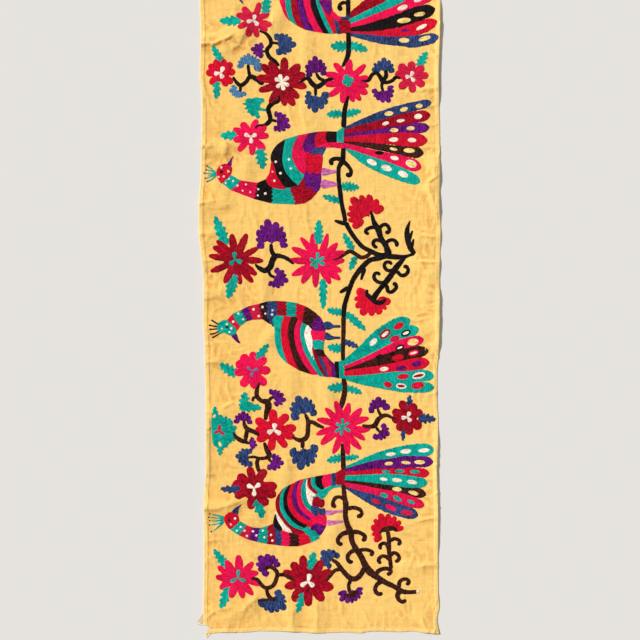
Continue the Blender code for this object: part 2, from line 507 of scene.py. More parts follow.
def tear_corner(bm):
    """Cut the sheet along the tear, then drop what is outside it."""
    for (x1, y1), (x2, y2) in zip(TEAR[:-1], TEAR[1:]):
        centres = [(face, face.calc_center_median()) for face in bm.faces]
        near = [face for face, at in centres if at.x < TEAR_REACH[0] and at.y < TEAR_REACH[1]]
        geom = {item for face in near for item in (face, *face.verts, *face.edges)}
        bmesh.ops.bisect_plane(
            bm,
            geom=list(geom),
            plane_co=(x1 * MM, y1 * MM, 0),
            plane_no=Vector((y1 - y2, x2 - x1, 0)).normalized(),
        )
    gone = [face for face in bm.faces
            if inside_tear(face.calc_center_median().x / MM, face.calc_center_median().y / MM)]
    bmesh.ops.delete(bm, geom=gone, context="FACES")


def add_object(name, bm):
    """The finished mesh as an object in the scene, with its origin at the scene's."""
    mesh = bpy.data.meshes.new(name)
    bm.to_mesh(mesh)
    bm.free()
    made = bpy.data.objects.new(name, mesh)
    bpy.context.scene.collection.objects.link(made)
    return made


def make_sheet():
    bm = bmesh.new()
    # the crease attribute carries the painted shade of folds and hollows, and the seam line, to the cloth's
    # colour
    line = bm.verts.layers.float.new("crease")
    turned = bm.verts.layers.float.new("hem")
    made = bmesh.ops.create_grid(
        bm, x_segments=len(columns_at) - 1, y_segments=len(rows_at) - 1, size=0.5
    )
    fields = (cloth_x, cloth_y, heights, painted_shade_and_seam, hem)
    for vert, x, y, z, painted_shade, edge in zip(made["verts"], *(field.flat for field in fields)):
        vert.co = (x * MM, y * MM, z * MM)
        vert[line], vert[turned] = min(painted_shade, 4.0), edge
    tear_corner(bm)
    bmesh.ops.triangulate(bm, faces=bm.faces)
    for face in bm.faces:
        face.smooth = True
    return add_object("cotton_sheet", bm)


cotton_sheet = make_sheet()
face_tree = BVHTree.FromPolygons(
    [vert.co for vert in cotton_sheet.data.vertices],
    [tuple(face.vertices) for face in cotton_sheet.data.polygons],
)
print("sheet:", len(cotton_sheet.data.polygons), "triangles")

# %% [markdown]
# ## How silk lies on the cloth
# Suzani silk is couched: long threads side by side, held by tiny stitches, and packed so densely that each
# colour stands about half a millimetre proud with a rounded edge. So each patch of one colour is a small
# net, dropped on the cloth by a ray from above and raised in its middle. Its UV map runs in millimetres,
# u along the thread and v across it, so that the material's stitches follow the motif.

# %% Drop a patch of silk on the cloth
SILK_HEIGHT = 0.55
SILK_FOOT = 0.03  # height of a patch at its very border
ROUNDED = 1.1  # width of the rounded border
silk = {}
random.seed(7)


def on_cloth(x, y, height):
    hit, _, _, _ = face_tree.ray_cast(Vector((x * MM, y * MM, 0.1)), Vector((0, 0, -1)))
    ground = 0.001 if hit is None else hit.z
    return Vector((x * MM, y * MM, ground + height * MM))


def silk_mesh(colour):
    """The growing mesh of one thread colour, and its UV map."""
    if colour not in silk:
        bm = bmesh.new()
        silk[colour] = (bm, bm.loops.layers.uv.new("stitch"))
    return silk[colour]


def crown(depth):
    """Height of packed stitches at a depth inside their border: a quarter round, then level."""
    inside = min(max(depth / ROUNDED, 0.0), 1.0)
    return SILK_FOOT + SILK_HEIGHT * math.sqrt(1.0 - (1.0 - inside) ** 2)


def patch(colour, across, along, place, closed=False):
    """A net of len(across) by len(along) points. place(a, l) gives x, y, height, u and v."""
    bm, stitch = silk_mesh(colour)
    made = bmesh.ops.create_grid(
        bm, x_segments=len(across) - 1, y_segments=len(along) - 1, size=0.5
    )
    start = 1000.0 * random.randrange(40)
    spots = {}
    for number, vert in enumerate(made["verts"]):
        step, side = divmod(number, len(across))
        x, y, height, u, v = place(across[side], along[step])
        vert.co = on_cloth(x, y, height)
        spots[vert] = (start + u, v)
    faces = {face for vert in made["verts"] for face in vert.link_faces}
    for face in faces:
        for loop in face.loops:
            loop[stitch].uv = spots[loop.vert]
        face.normal_update()
        if face.normal.z < 0:
            face.normal_flip()
        face.smooth = True
    if closed:
        bmesh.ops.remove_doubles(bm, verts=made["verts"], dist=0.00002)


def stops(width, spacing):
    """Shares from -1 to 1 across a width: close together in the rounded borders, then even."""
    half = width / 2
    first = min(0.35 / half, 0.16)
    second = min(1.0 / half, 0.48)
    inner = max(1, math.ceil(half * (1.0 - second) / spacing))
    middle = [(1.0 - second) * number / inner for number in range(inner)]
    right = middle + [1.0 - second, 1.0 - first, 1.0]
    return [-share for share in reversed(right[1:])] + right


# %% [markdown]
# ## Strokes
# Most of the pattern is strokes: stems, hooks, petals, feathers and crests. A stroke is a smooth curve
# through a few knots, each with a width. Its ends are rounded by narrowing the last rows like a half
# circle.

# %% A smooth curve through knots
def bend(before, start, end, after, share):
    """A Catmull-Rom curve between two knots, for places and widths alike."""
    return tuple(
        0.5 * (2 * b + (c - a) * share + (2 * a - 5 * b + 4 * c - d) * share**2
               + (3 * b - a - 3 * c + d) * share**3)
        for a, b, c, d in zip(before, start, end, after)
    )


def smooth_curve(knots, pieces=8, loop=False):
    """Points along the curve through the knots."""
    if loop:
        ends = [knots[-1], *knots, knots[0], knots[1]]
    else:
        first = tuple(2 * a - b for a, b in zip(knots[0], knots[1]))
        last = tuple(2 * a - b for a, b in zip(knots[-1], knots[-2]))
        ends = [first, *knots, last]
    points = []
    for number in range(len(ends) - 3):
        for part in range(pieces):
            points.append(bend(*ends[number:number + 4], part / pieces))
    return points if loop else points + [tuple(knots[-1])]


def at_lengths(points, lengths):
    """The curve's points at given lengths along it."""
    steps = [0.0]
    for one, two in zip(points, points[1:]):
        steps.append(steps[-1] + math.hypot(two[0] - one[0], two[1] - one[1]))
    columns = np.array(points).T
    return list(zip(*(np.interp(lengths, steps, column) for column in columns))), steps[-1]


def heading(spots, number):
    """Which way a row of points runs at one of them."""
    one, two = spots[max(number - 1, 0)], spots[min(number + 1, len(spots) - 1)]
    run = Vector((two[0] - one[0], two[1] - one[1]))
    return run.normalized() if run.length else Vector((1.0, 0.0))


# %% A stroke of silk
CAP = (0.0, 0.07, 0.25, 0.55, 1.0)  # rows of a rounded end, as shares of its length


def stroke(colour, knots, lengthwise=True, raised=0.0, spacing=2.6, blunt_start=False, pointed=False):
    """A ribbon of stitches along a curve. The threads run along it, or slantwise across it."""
    fine = smooth_curve([tuple(knot) for knot in knots])
    _, length = at_lengths(fine, [0.0])
    start_cap = 0.4 if blunt_start else max(knots[0][2] / 2, 0.3)
    end_cap = max(knots[-1][2] * (0.7 if pointed else 0.5), 0.3)
    count = max(1, round((length - start_cap - end_cap) / spacing))
    middle = np.linspace(start_cap, length - end_cap, count + 1)[1:-1]
    lengths = [start_cap * share for share in CAP] + list(middle)
    lengths += [length - end_cap * share for share in reversed(CAP)]
    spots, _ = at_lengths(fine, lengths)
    places = []
    for number, (x, y, width) in enumerate(spots):
        turn = heading(spots, number)
        gone = lengths[number]
        near_start = min(gone / start_cap, 1.0)
        near_end = min((length - gone) / end_cap, 1.0)
        narrow = math.sqrt(max(1.0 - (1.0 - near_start) ** 2, 0.0))
        narrow *= math.sin(near_end * math.pi / 2) ** (0.66 if pointed else 0.5)
        uneven = random.uniform(0.92, 1.06)
        if min(number, len(spots) - 1 - number) < len(CAP) - 1:
            uneven = 1.0
        places.append((x, y, max(width * narrow * uneven / 2, 0.06), -turn.y, turn.x, gone))
    widest = max(knot[2] for knot in knots)

    def place(side, number):
        x, y, half, out_x, out_y, gone = places[number]
        depth = min(half * (1.0 - abs(side)), gone, length - gone)
        offset = half * side
        u, v = (gone, offset) if lengthwise else (offset * 0.9 + gone * 0.35, gone)
        return x + out_x * offset, y + out_y * offset, raised + crown(depth), u, v

    patch(colour, stops(max(widest, 1.2), spacing), range(len(places)), place)


# %% [markdown]
# ## Flowers
# A suzani flower is a ring of round-tipped petals sewn from the heart outwards, no two quite alike. Each
# petal is one stroke. The directions are listed one by one, because the real ones are uneven. A round
# centre covers where they meet, and a small heart of lobes lies on top in another colour.

# %% Build a flower
def around(x, y, reach, degrees):
    angle = math.radians(degrees)
    return x + reach * math.cos(angle), y + reach * math.sin(angle)


def disc(colour, x, y, size, raised=0.0, points=24):
    """A round patch. It takes a random draw for each point, so that every later draw stays as it is."""
    for _ in range(points):
        random.random()
    rings = (0.02, 0.2, 0.4, 0.58, 0.75, 0.92, 1.0) if size > 5.0 else (0.02, 0.4, 0.75, 0.92, 1.0)

    def place(ring, number):
        turn = 2 * math.pi * number / points
        reach = ring * size
        height = raised + crown(size - reach)
        return x + reach * math.cos(turn), y + reach * math.sin(turn), height, reach, turn * size * 0.7

    patch(colour, rings, range(points + 1), place, closed=True)


ROUND_PETAL = ((0.0, 0.7), (0.35, 0.9), (0.62, 1.0), (0.84, 0.92), (1.0, 0.6))
POINTED_PETAL = ((0.0, 0.8), (0.35, 1.0), (0.6, 0.94), (0.84, 0.56), (1.0, 0.16))
DROP = ((0.0, 0.4), (0.35, 0.7), (0.62, 1.0), (0.84, 1.0), (1.0, 0.65))


def between(one, two, share):
    """A petal's profile between two others. A profile is a list of places along it and widths there."""
    return [(place, a * (1.0 - share) + b * share) for (place, a), (_, b) in zip(one, two)]


def petal(colour, x, y, root, tip, degrees, width, raised, profile):
    """A petal from root to tip, slightly bent."""
    sway = random.uniform(-0.05, 0.05) * tip
    knots = []
    for share, broad in profile:
        place = around(x, y, root + (tip - root) * share, degrees)
        side = around(0.0, 0.0, sway * math.sin(share * math.pi), degrees + 90)
        knots.append((place[0] + side[0], place[1] + side[1], width * broad))
    stroke(colour, knots, raised=raised, spacing=3.0)


PETAL_STEP = 0.16  # every second petal lies this much higher
HEART_LIFT = 0.4
LOBE_STEP = 0.03


def flower(row):
    centre = row.size * row.centre
    profile = between(ROUND_PETAL, POINTED_PETAL, row.point)
    for number, turn in enumerate(row.petals):
        width = row.width * random.uniform(0.86, 1.1)
        tip = row.size * random.uniform(0.92, 1.06)
        raised = PETAL_STEP * (number % 2)
        petal(row.colour, row.x, row.y, centre * 0.25, tip, turn, width, raised, profile)
    disc(row.colour, row.x, row.y, centre)
    lobes = int(row.heart_lobes)
    for number in range(lobes):
        turn = row.heart_turn + 360.0 * number / lobes + random.uniform(-9, 9)
        size = row.heart_size * random.uniform(0.9, 1.08)
        raised = HEART_LIFT + LOBE_STEP * number
        petal(row.heart, row.x, row.y, 0.4, size, turn, row.heart_width, raised, DROP)


FLOWERS = rows(
    "colour x y size petals width centre point heart_lobes heart heart_size heart_width heart_turn", """
rose -140 497 39 24,72,129,161,206,251,284,321,345 16 0.47 0.18 3 cream 14 9 72
red -210 386 33 5,41,75,114,146,180,229,297,322 16 0.57 0.09 3 cream 14 10 60
dark_red -80 367 54 18,45,85,119,141,171,200,241,277,298,317,348 19 0.52 0.3 6 cream 18 9 100
pink 59 369 49 10,43,86,128,162,190,218,257,286,304,327,346 17 0.52 0.42 4 teal 13 13 20
rose 193 378 36 4,42,85,134,173,223,277,324 19 0.53 0.12 3 cream 13 9 62
pink -146 251 39 2,37,70,123,155,190,229,273,317 16 0.47 0.26 3 cream 14 9 27
dark_red -179 -9 58 28,66,98,134,150,171,205,245,283,308,325,358 16 0.43 0.42 3 teal 16 10 98
pink -6 -12 60 2,19,42,69,99,125,152,177,209,236,267,300,321,338 17 0.43 0.59 6 teal 18 8 32
pink -143 -244 41 0,44,88,124,154,188,233,276,315 19 0.53 0.13 3 blue 14 6 27
red -96 -369 44 8,47,95,149,177,210,261,305,341 19 0.52 0.15 3 cream 16 11 86
pink 48 -363 58 19,45,75,106,132,163,196,219,250,281,310,330,356 17 0.45 0.55 6 teal 18 7 30
dark_red 185 -342 36 20,63,112,159,192,231,274,322 19 0.57 0.09 3 cream 12 9 66
dark_red -139 -492 48 5,57,104,139,170,206,261,310,340 21 0.53 0.15 3 cream 16 10 33
pink -173 -682 47 14,47,90,124,150,177,211,250,284,312,342 17 0.45 0.51 3 teal 17 8 88
dark_red -25 -690 55 23,56,101,129,156,192,233,272,309,348 22 0.52 0.3 3 cream 17 11 85
dark_red -169 714 52 12,46,80,112,150,185,220,256,290,325,350 17 0.45 0.36 3 teal 17 9 90
pink -17 718 54 8,40,74,104,137,170,203,236,268,300,332,354 17 0.47 0.51 6 teal 18 8 80
""")
for row in FLOWERS:
    flower(row)
print("flowers:", len(FLOWERS), "with", sum(len(row.petals) for row in FLOWERS), "petals")

# %% [markdown]
# ## Fan blossoms
# The half-open blossoms are crescents with a toothed rim, sewn outwards from their foot, and their side
# lobes curl back round it. One formula makes them all: a rim whose radius changes from the front to the
# sides, with a tooth of its own height at each step, and a hollow inner edge. Their threads all run along
# the panel, whichever way the blossom points.

# %% Build the fans
FAN_LIFT = 0.06
TOOTH_STEPS = 6


def fan(row):
    """A crescent round its foot. Each tooth has its own width and height, the tallest is at the peak."""
    arc = row.end - row.start
    peak = (row.peak - row.start) / arc
    before = max(round((row.teeth - 1) * peak), 1)
    edges = []
    for start, end, count in (
        (0.0, peak - 0.55 / row.teeth, before),
        (peak + 0.55 / row.teeth, 1.0, max(int(row.teeth) - 1 - before, 1)),
    ):
        widths = [random.uniform(0.7, 1.3) for _ in range(count)]
        widths[0 if start == 0.0 else -1] *= 1.6
        places = np.cumsum([0.0] + widths)
        edges += list(start + (end - start) * places / places[-1])
    tall = [random.uniform(0.7, 1.15) for _ in edges]
    tall[before] = 1.45
    steps = (len(edges) - 1) * TOOTH_STEPS
    rings = (0.0, 0.07, 0.2, 0.35, 0.5, 0.65, 0.8, 0.93, 1.0)

    def place(ring, number):
        tooth = min(number // TOOTH_STEPS, len(edges) - 2)
        inside = number / TOOTH_STEPS - tooth
        share = edges[tooth] * (1.0 - inside) + edges[tooth + 1] * inside
        side = abs(share - peak) / (peak if share < peak else 1.0 - peak)
        last = row.first if share < peak else row.last
        rim = last + (row.front * 0.93 - last) * max(math.cos(side * math.pi / 2), 0.0) ** 2.5
        rim *= 0.89 + 0.18 * tall[tooth] * math.sin(math.pi * inside) ** 0.6
        turned = abs(2.0 * share - 1.0)
        foot = 0.02 + row.hollow * min(turned * 1.6, 1.0) ** 1.5
        cap = math.sqrt(max(1.0 - max((turned - 0.86) / 0.14, 0.0) ** 2, 0.0)) * 0.96 + 0.04
        middle, half = rim * (1.0 + foot) / 2, rim * (1.0 - foot) / 2 * cap
        reach = middle + half * (2.0 * ring - 1.0)
        x, y = around(row.x, row.y, reach, row.start + share * arc)
        depth = min(half * 2.0 * min(ring, 1.0 - ring), 0.3 + 2.0 * min(number, steps - number))
        return x, y, FAN_LIFT + crown(depth), 500.0 + y - row.y, x

    patch(row.colour, rings, range(steps + 1), place)


FANS = rows("colour x y peak front start first end last teeth hollow", """
navy -93 446 0 41 -93 22 106 22 8 0.37
purple -116 432 170 29 103 20 252 17 6 0.33
blue -151 400 90 26 -33 28 197 23 10 0.37
blue -167 351 185 24 143 20 333 15 7 0.37
purple -7 382 95 38 -8 21 202 21 9 0.37
navy -9 342 268 38 155 19 375 28 8 0.41
navy 138 385 95 32 2 20 177 29 7 0.37
purple 131 353 300 32 178 21 383 24 8 0.44
purple -96 284 -20 34 -99 21 94 21 8 0.41
purple -101 21 101 54 -14 31 200 30 10 0.49
purple -100 -45 -15 33 -126 20 77 21 8 0.41
purple -103 -303 -5 30 -64 20 112 19 7 0.41
purple -162 -353 90 23 -20 18 192 19 7 0.37
purple -151 -398 -10 18 -62 16 76 16 5 0.15
purple -107 -434 -10 30 -113 18 67 18 7 0.37
navy -31 -339 112 43 -5 24 211 27 8 0.41
navy -147 -427 175 30 70 18 293 19 9 0.37
navy -36 -403 264 48 188 28 371 32 7 0.46
purple 123 -327 88 27 -4 25 212 19 6 0.37
purple 124 -370 -20 24 -143 19 66 19 6 0.41
purple -104 -661 136 34 5 22 257 20 8 0.37
navy -105 -720 -40 41 -167 29 46 23 8 0.37
navy 28 -646 140 31 26 19 256 18 7 0.37
purple 68 -705 225 34 188 30 376 22 8 0.37
red 106 80 133 55 22 36 226 41 9 0.33
red 112 -85 240 45 140 34 357 38 8 0.3
red 143 -586 112 41 4 34 231 31 9 0.41
teal -213 -371 12 36 -80 36 100 33 9 0
purple -97 677 95 35 0 25 190 25 8 0.41
navy -93 751 270 33 180 24 360 24 7 0.41
red 136 715 90 48 -15 38 195 38 10 0.44
""")
for row in FANS:
    fan(row)
print("fan blossoms:", len(FANS))

# %% [markdown]
# ## Leaves
# The leaves are small blades with toothed sides. The width swells and closes like any leaf, and a saw
# wave cuts the teeth, which lean towards the tip.

# %% Build the leaves
LEAF_LIFT = 0.04


def leaf(row):
    length = math.hypot(row.tip_x - row.x, row.tip_y - row.y)
    teeth = int(row.teeth)
    steps = teeth * TOOTH_STEPS + 2
    along_x, along_y = (row.tip_x - row.x) / length, (row.tip_y - row.y) / length
    cuts = {side: [random.uniform(0.4, 0.62) for _ in range(teeth + 2)] for side in (-1, 0, 1)}

    def place(side, number):
        share = number / steps
        swell = math.sin(math.pi * min(share**0.8 * 0.9 + 0.1, 1.0)) ** 0.5
        hand = (side > 0) - (side < 0)
        saw = share * teeth + 0.45 * (hand > 0)
        cut = cuts[hand][int(saw)]
        saw %= 1.0
        tooth = 1.0 - cut * (1.0 - saw / 0.75 if saw < 0.75 else (saw - 0.75) / 0.25)
        half = row.width / 2 * swell * (tooth if number < steps else 1.0)
        offset = half * side
        gone = length * share + abs(side) * tooth * 0.8
        x = row.x + along_x * gone - along_y * offset
        y = row.y + along_y * gone + along_x * offset
        depth = min(half * (1.0 - abs(side)), gone, max(length - gone, 0.0))
        return x, y, LEAF_LIFT + crown(depth), gone + abs(offset) * 0.8, offset

    patch(row.colour, stops(row.width * 0.8, 3.0), range(steps + 1), place)


LEAVES = rows("colour x y tip_x tip_y width teeth", """
> teal
-167 496 -212 496 26 4
-116 511 -110 551 26 4
-208 409 -227 443 20 4
-218 368 -218 331 21 3
59 442 23 443 29 4
63 446 101 434 24 4
209 399 226 431 24 4
47 300 15 298 22 4
53 299 87 306 21 4
-174 254 -210 253 25 3
-127 226 -120 183 30 4
-198 22 -222 83 28 5
-180 -39 -194 -91 29 5
-3 24 -2 75 25 5
7 -49 7 -113 22 5
46 147 83 144 25 5
44 115 6 126 20 4
70 10 50 47 20 4
75 -2 64 -31 19 3
47 -121 15 -115 21 4
55 -122 97 -158 21 5
48 -197 16 -194 25 4
> navy
51 -181 82 -194 17 4
> teal
52 -279 16 -280 26 4
56 -279 89 -291 20 4
-176 -252 -212 -229 28 4
-159 -328 -159 -289 29 4
-170 -320 -123 -322 25 4
-134 -221 -109 -187 22 4
-219 -346 -223 -319 17 3
-211 -400 -211 -423 17 3
> navy
189 -323 190 -295 17 3
208 -344 245 -346 25 4
176 -362 176 -392 13 3
-166 -494 -210 -494 22 4
> teal
-134 -515 -121 -555 29 3
48 -426 15 -435 22 4
53 -429 83 -425 17 4
-195 -660 -225 -621 22 5
-193 -701 -209 -746 26 4
-19 -665 -13 -627 25 3
-34 -712 -48 -756 22 4
-205 750 -228 778 24 4
20 683 39 655 21 4
-157 670 -148 647 21 3
51 602 27 610 20 4
66 587 98 596 21 4
""")
for row in LEAVES:
    leaf(row)
print("leaves:", len(LEAVES))

# %% [markdown]
# ## Stems
# The stem that carries the pattern branches and curls into hooks. It is black in the upper part and dark
# brown below, where another skein of thread was used. Each row is a stroke, with short slanting stitches.

# %% Build the stems
STEM_LIFT = 0.14
STEM_STEP = 0.02  # four heights in turn, so that two stems that cross don't lie level

STEMS = rows("colour knots", """
> black
61,799,8.5 58,752,9.5 62,710,9.5 59,672,9.5 61,625,10.6 61,575,9.5 60,537,9.5 60,503,9.5
60,532,8.5 51,535,7.6 43,531,8 42,524,10.2 46,518,11.8
60,473,9.5 61,446,11 59,422,10.6 48,399,6.3
61,338,4.2 55,319,9.3 52,302,10.6 50,270,11
50,230,9.7 48,202,11.8 40,185,9.3 40,160,9.3 43,134,10.2 46,111,9.7 51,88,9.7 54,71,10.6
47,202,10.6 36,205,8.9 27,203,9.3 23,198,9.2 28,192,8.9
49,200,10.6 60,189,8.5 66,179,7.6 63,170,10.2 55,173,10.1
55,67,9.3 43,70,8.9 31,74,5.1
> brown
50,-259,10.6 53,-280,11.4 51,-297,11.8 47,-313,11.4 45,-325,5.1
48,-397,7.2 49,-422,10.6 50,-454,10.6
50,-483,9.7 52,-509,10.6 55,-528,12.7 54,-549,11 58,-568,11.8 66,-587,14.8
53,-517,9.3 44,-511,8 34,-512,8 28,-521,8 29,-529,10.2 35,-531,9.5
58,-536,9.7 70,-533,8.9 84,-537,8.9 89,-545,8 84,-551,10.2 78,-550,8.9
> black
-128,475,4.2 -115,470,6.8 -105,458,8.5 -104,446,8.5 -112,434,8.9 -107,420,9.3 -95,410,9.3 -86,401,6.3
-104,450,6.3 -88,449,5.5
-121,431,4.2 -112,433,5.9
-184,378,4.7 -176,366,8 -167,360,8.9 -156,367,8.9 -148,378,9.3 -135,374,11.2 -119,362,11.8
-147,377,8.5 -150,388,7.2 -152,404,6.8
-168,361,7.6 -168,346,5.5
-44,364,5.5 -31,374,7.2 -23,373,9.3 -17,364,10.6 -6,357,11 5,363,10.2 16,371,8 30,374,4.7
-8,386,5.5 -1,375,7.6 11,369,7.6
-9,357,7.2 -9,338,6.3
87,369,3.4 102,370,7.6 110,382,8 119,386,8 126,380,8.9 133,369,10.6 142,366,8 153,370,8 161,377,7.6 \
170,375,4.2
134,370,8.5 140,380,9.3 139,393,7.2
132,367,8.5 131,357,6.8 134,347,5.1
-87,340,3.8 -88,328,9.7 -101,321,10.2 -109,310,10.2 -105,293,9.7 -107,283,10.2 -118,275,8 -131,274,6.8 \
-137,268,4.7
-104,287,6.8 -91,284,5.9
-137,-18,3.4 -129,-26,8.9 -116,-32,11.8 -105,-24,13.1 -100,-10,13.1 -93,-1,11.8 -80,-2,8.9 -67,-8,8.9 \
-55,-18,4.7
-95,-2,10.6 -102,10,9.3 -103,25,7.6
-109,-32,7.2 -104,-42,6.8 -95,-46,5.9
54,71,10.6 64,52,9.7 77,33,9.7 91,18,9.7 108,9,10.2 125,1,11.4 142,-1,12.7 161,-3,11.4 178,-3,8.9 \
191,1,5.9 200,4,8.5
201,3,9.5 194,12,11.6 189,22,11.6 185,39,12.7 185,56,9.5 191,74,2.1
189,29,5.3 192,41,6.3 196,53,3.4
193,14,6.3 196,24,6.3 198,35,4.2
107,95,4.2 110,86,6.8 115,69,10.6 124,54,14 129,37,11.4 140,20,12.7 146,-1,16.9
121,60,8.5 107,59,8 98,54,8 97,49,7.8 104,45,7.7
125,56,8.5 132,64,8 141,65,8 147,56,8 144,49,9.2 138,51,7.7
140,18,8.5 131,29,7.6 119,33,8 113,28,8 115,20,7.8 122,17,7.7
140,20,8.5 142,29,8 151,33,8 159,31,8 163,24,9.2 160,19,8.3
182,-1,6.3 171,-14,10.6 161,-26,13.1 151,-41,12.7 138,-58,12.7 127,-71,10.2 115,-88,12.7 113,-98,8.5
161,-26,8.5 151,-32,8 141,-30,8 136,-21,8 141,-14,7.6 149,-15,7.3 151,-20,6.5
163,-33,8.5 172,-42,8.5 182,-40,8.5 187,-31,8 182,-23,8.8 177,-26,7.7
144,-52,8.5 134,-57,8 123,-56,8 115,-48,8 116,-39,7.6 123,-37,7.3 127,-42,6.5
142,-62,9.3 144,-75,8.5 152,-77,8 161,-69,8 160,-60,8.8 154,-62,7.7
101,-72,4.7 99,-81,9.3 108,-90,11.4 119,-99,11.4 132,-99,10.2 140,-91,7.7
140,-3,8.5 123,-6,11 106,-10,11 94,-20,11.8 81,-35,11.8 71,-50,10.2 64,-67,10.2 58,-86,10.2 52,-107,10.2 \
50,-132,10.6
> brown
50,-128,10.2 50,-158,9.7 49,-189,8.9 49,-223,8.9
> black
95,-26,9.3 91,-39,7.6 87,-52,4.7
62,-67,9.3 51,-73,8.9 42,-79,5.9
> brown
108,8,8.9 100,-1,8.9 87,-4,8.9 74,4,8.9 64,9,8.9 53,4,8.9 43,-3,7.6 28,-9,5.5
-128,-268,5.5 -133,-284,8.9 -133,-297,9.7 -124,-307,9.3 -112,-310,13.5 -109,-320,14.8 -113,-333,11 \
-115,-348,7.6
-110,-310,8.5 -104,-302,6.8 -97,-299,5.5
-135,-299,6.3 -141,-302,6.3 -142,-309,4.7
-185,-373,4.7 -177,-384,8.9 -165,-392,9.7 -155,-395,7.6 -149,-398,5.1
-161,-348,5.5 -159,-359,8.9 -153,-367,10.6 -139,-373,9.7 -127,-380,7.6
-154,-369,9.7 -156,-382,8.9 -158,-393,8.5
-59,-383,5.5 -46,-390,8.9 -36,-390,11 -27,-382,10.2 -25,-365,10.2 -25,-350,9.3 -31,-335,6.3
-36,-392,9.3 -37,-408,7.6
-25,-352,8.9 -14,-353,8.9 -4,-359,8.9 9,-364,5.9
-118,-395,5.5 -112,-411,11 -107,-422,11 -114,-428,8 -128,-429,7.2 -139,-426,5.9 -151,-427,5.5
-110,-426,7.2 -105,-434,5.9 -100,-436,5.1
-130,-429,8.9 -133,-439,8.9 -130,-452,8.9 -125,-462,7.2 -128,-473,3.8
89,-359,5.5 104,-362,8.9 116,-359,11 123,-347,10.6 132,-340,8.9 142,-338,8 153,-343,5.9 161,-344,3.4
132,-341,6.8 126,-333,6.8 122,-323,5.5
119,-363,6.8 123,-369,6.3 128,-374,4.7
66,-585,14 68,-604,11.4 77,-621,11.8 87,-636,12.7 95,-653,14 104,-667,16.1 121,-680,13.1 138,-691,11.8 \
157,-700,11 174,-710,11 189,-712,8.9 206,-711,8.9
64,-585,11.4 49,-588,9.7 39,-598,8.9 39,-607,9.2 48,-612,8.9
66,-585,11.4 81,-585,9.3 94,-592,9.3 94,-600,10.2 88,-601,8.9
83,-623,10.6 69,-625,9.3 60,-633,8.9 59,-642,8.9 64,-648,8.8 70,-646,7.7
81,-624,9.3 96,-622,8 108,-625,8 111,-630,8.8 106,-635,8.3
132,-687,10.6 120,-697,9.3 117,-708,8.9 124,-716,8.8 133,-714,7.7
168,-703,9.3 168,-692,8.9 175,-685,8 185,-685,8 188,-692,8.8 182,-696,7.7
171,-708,12.7 164,-718,10.6 168,-729,8.9 176,-732,8.8 183,-728,7.7
95,-659,10.6 87,-674,11.4 77,-683,11.8 66,-683,11.8 55,-674,11 45,-662,10.2 36,-650,8.9 25,-643,6.3
45,-663,8.9 32,-666,8 23,-676,7.2 13,-690,4.2
65,-687,9.3 61,-697,7.6 63,-710,8 70,-719,7.6
50,-716,5.5 61,-720,9.7 72,-716,14 81,-708,6.8
119,-672,11.4 127,-665,9.3 140,-662,8.9 150,-666,8.5 147,-673,9.2 141,-673,7.7
151,-663,8.5 148,-640,8.9 146,-621,9.7 146,-600,9.3 143,-581,9.7
146,-621,8.5 140,-610,8 132,-609,8 127,-615,8.8 129,-622,7.1
149,-604,8.5 157,-599,8 167,-602,8 169,-608,8.8 164,-612,7.7
147,-644,8.5 140,-637,8 131,-636,8 124,-644,8.8 129,-652,8.3
149,-636,8.5 155,-629,8 163,-631,8 168,-639,8 163,-646,8.8 159,-644,7.1
125,-589,4.2 131,-582,7.6 142,-578,12.7 155,-577,10.2 164,-583,5.9
-146,-683,4.2 -133,-685,8 -122,-698,8.5 -112,-703,8.9 -99,-698,9.3 -92,-684,8.9 -90,-672,8.9 \
-96,-663,8.9 -106,-658,9.2 -118,-664,7.7
-90,-676,8 -78,-675,8 -65,-680,7.6 -50,-689,4.2
-112,-705,8 -111,-714,8 -104,-725,9.7 -95,-729,8.5
-131,-729,6.3 -120,-729,6.3 -107,-728,6.3
> black
-131,710,4.7 -114,702,8.5 -97,706,9.3 -80,718,8.9 -61,718,6.3
-97,704,7.2 -97,683,6.3
-93,710,7.2 -93,746,5.9
30,714,6.3 45,710,8.5 60,706,9.3
62,689,9.3 81,697,8.9 102,689,8.9 123,693,10.2 136,718,8.9
89,693,8.5 89,710,8 100,714,9.2 104,706,7.7
110,691,8.5 110,672,8 123,668,9.2 127,676,7.7
136,702,8.5 157,693,8.5 174,702,9.2 172,712,8.9
""")
for number, row in enumerate(STEMS):
    raised = STEM_LIFT + STEM_STEP * (number % 4)
    stroke(row.colour, row.knots, lengthwise=False, raised=raised, spacing=2.2)
print("stems and hooks:", len(STEMS))

# %% [markdown]
# ## Birds: the tails
# Each tail is a sheaf of feathers side by side, with the threads running slantwise across. Ovals of other
# colours mark their ends. Every second feather lies slightly higher, so that no two neighbours lie level.

# %% Build the feathers and their marks
FEATHER_STEP = 0.15  # every second feather lies this much higher

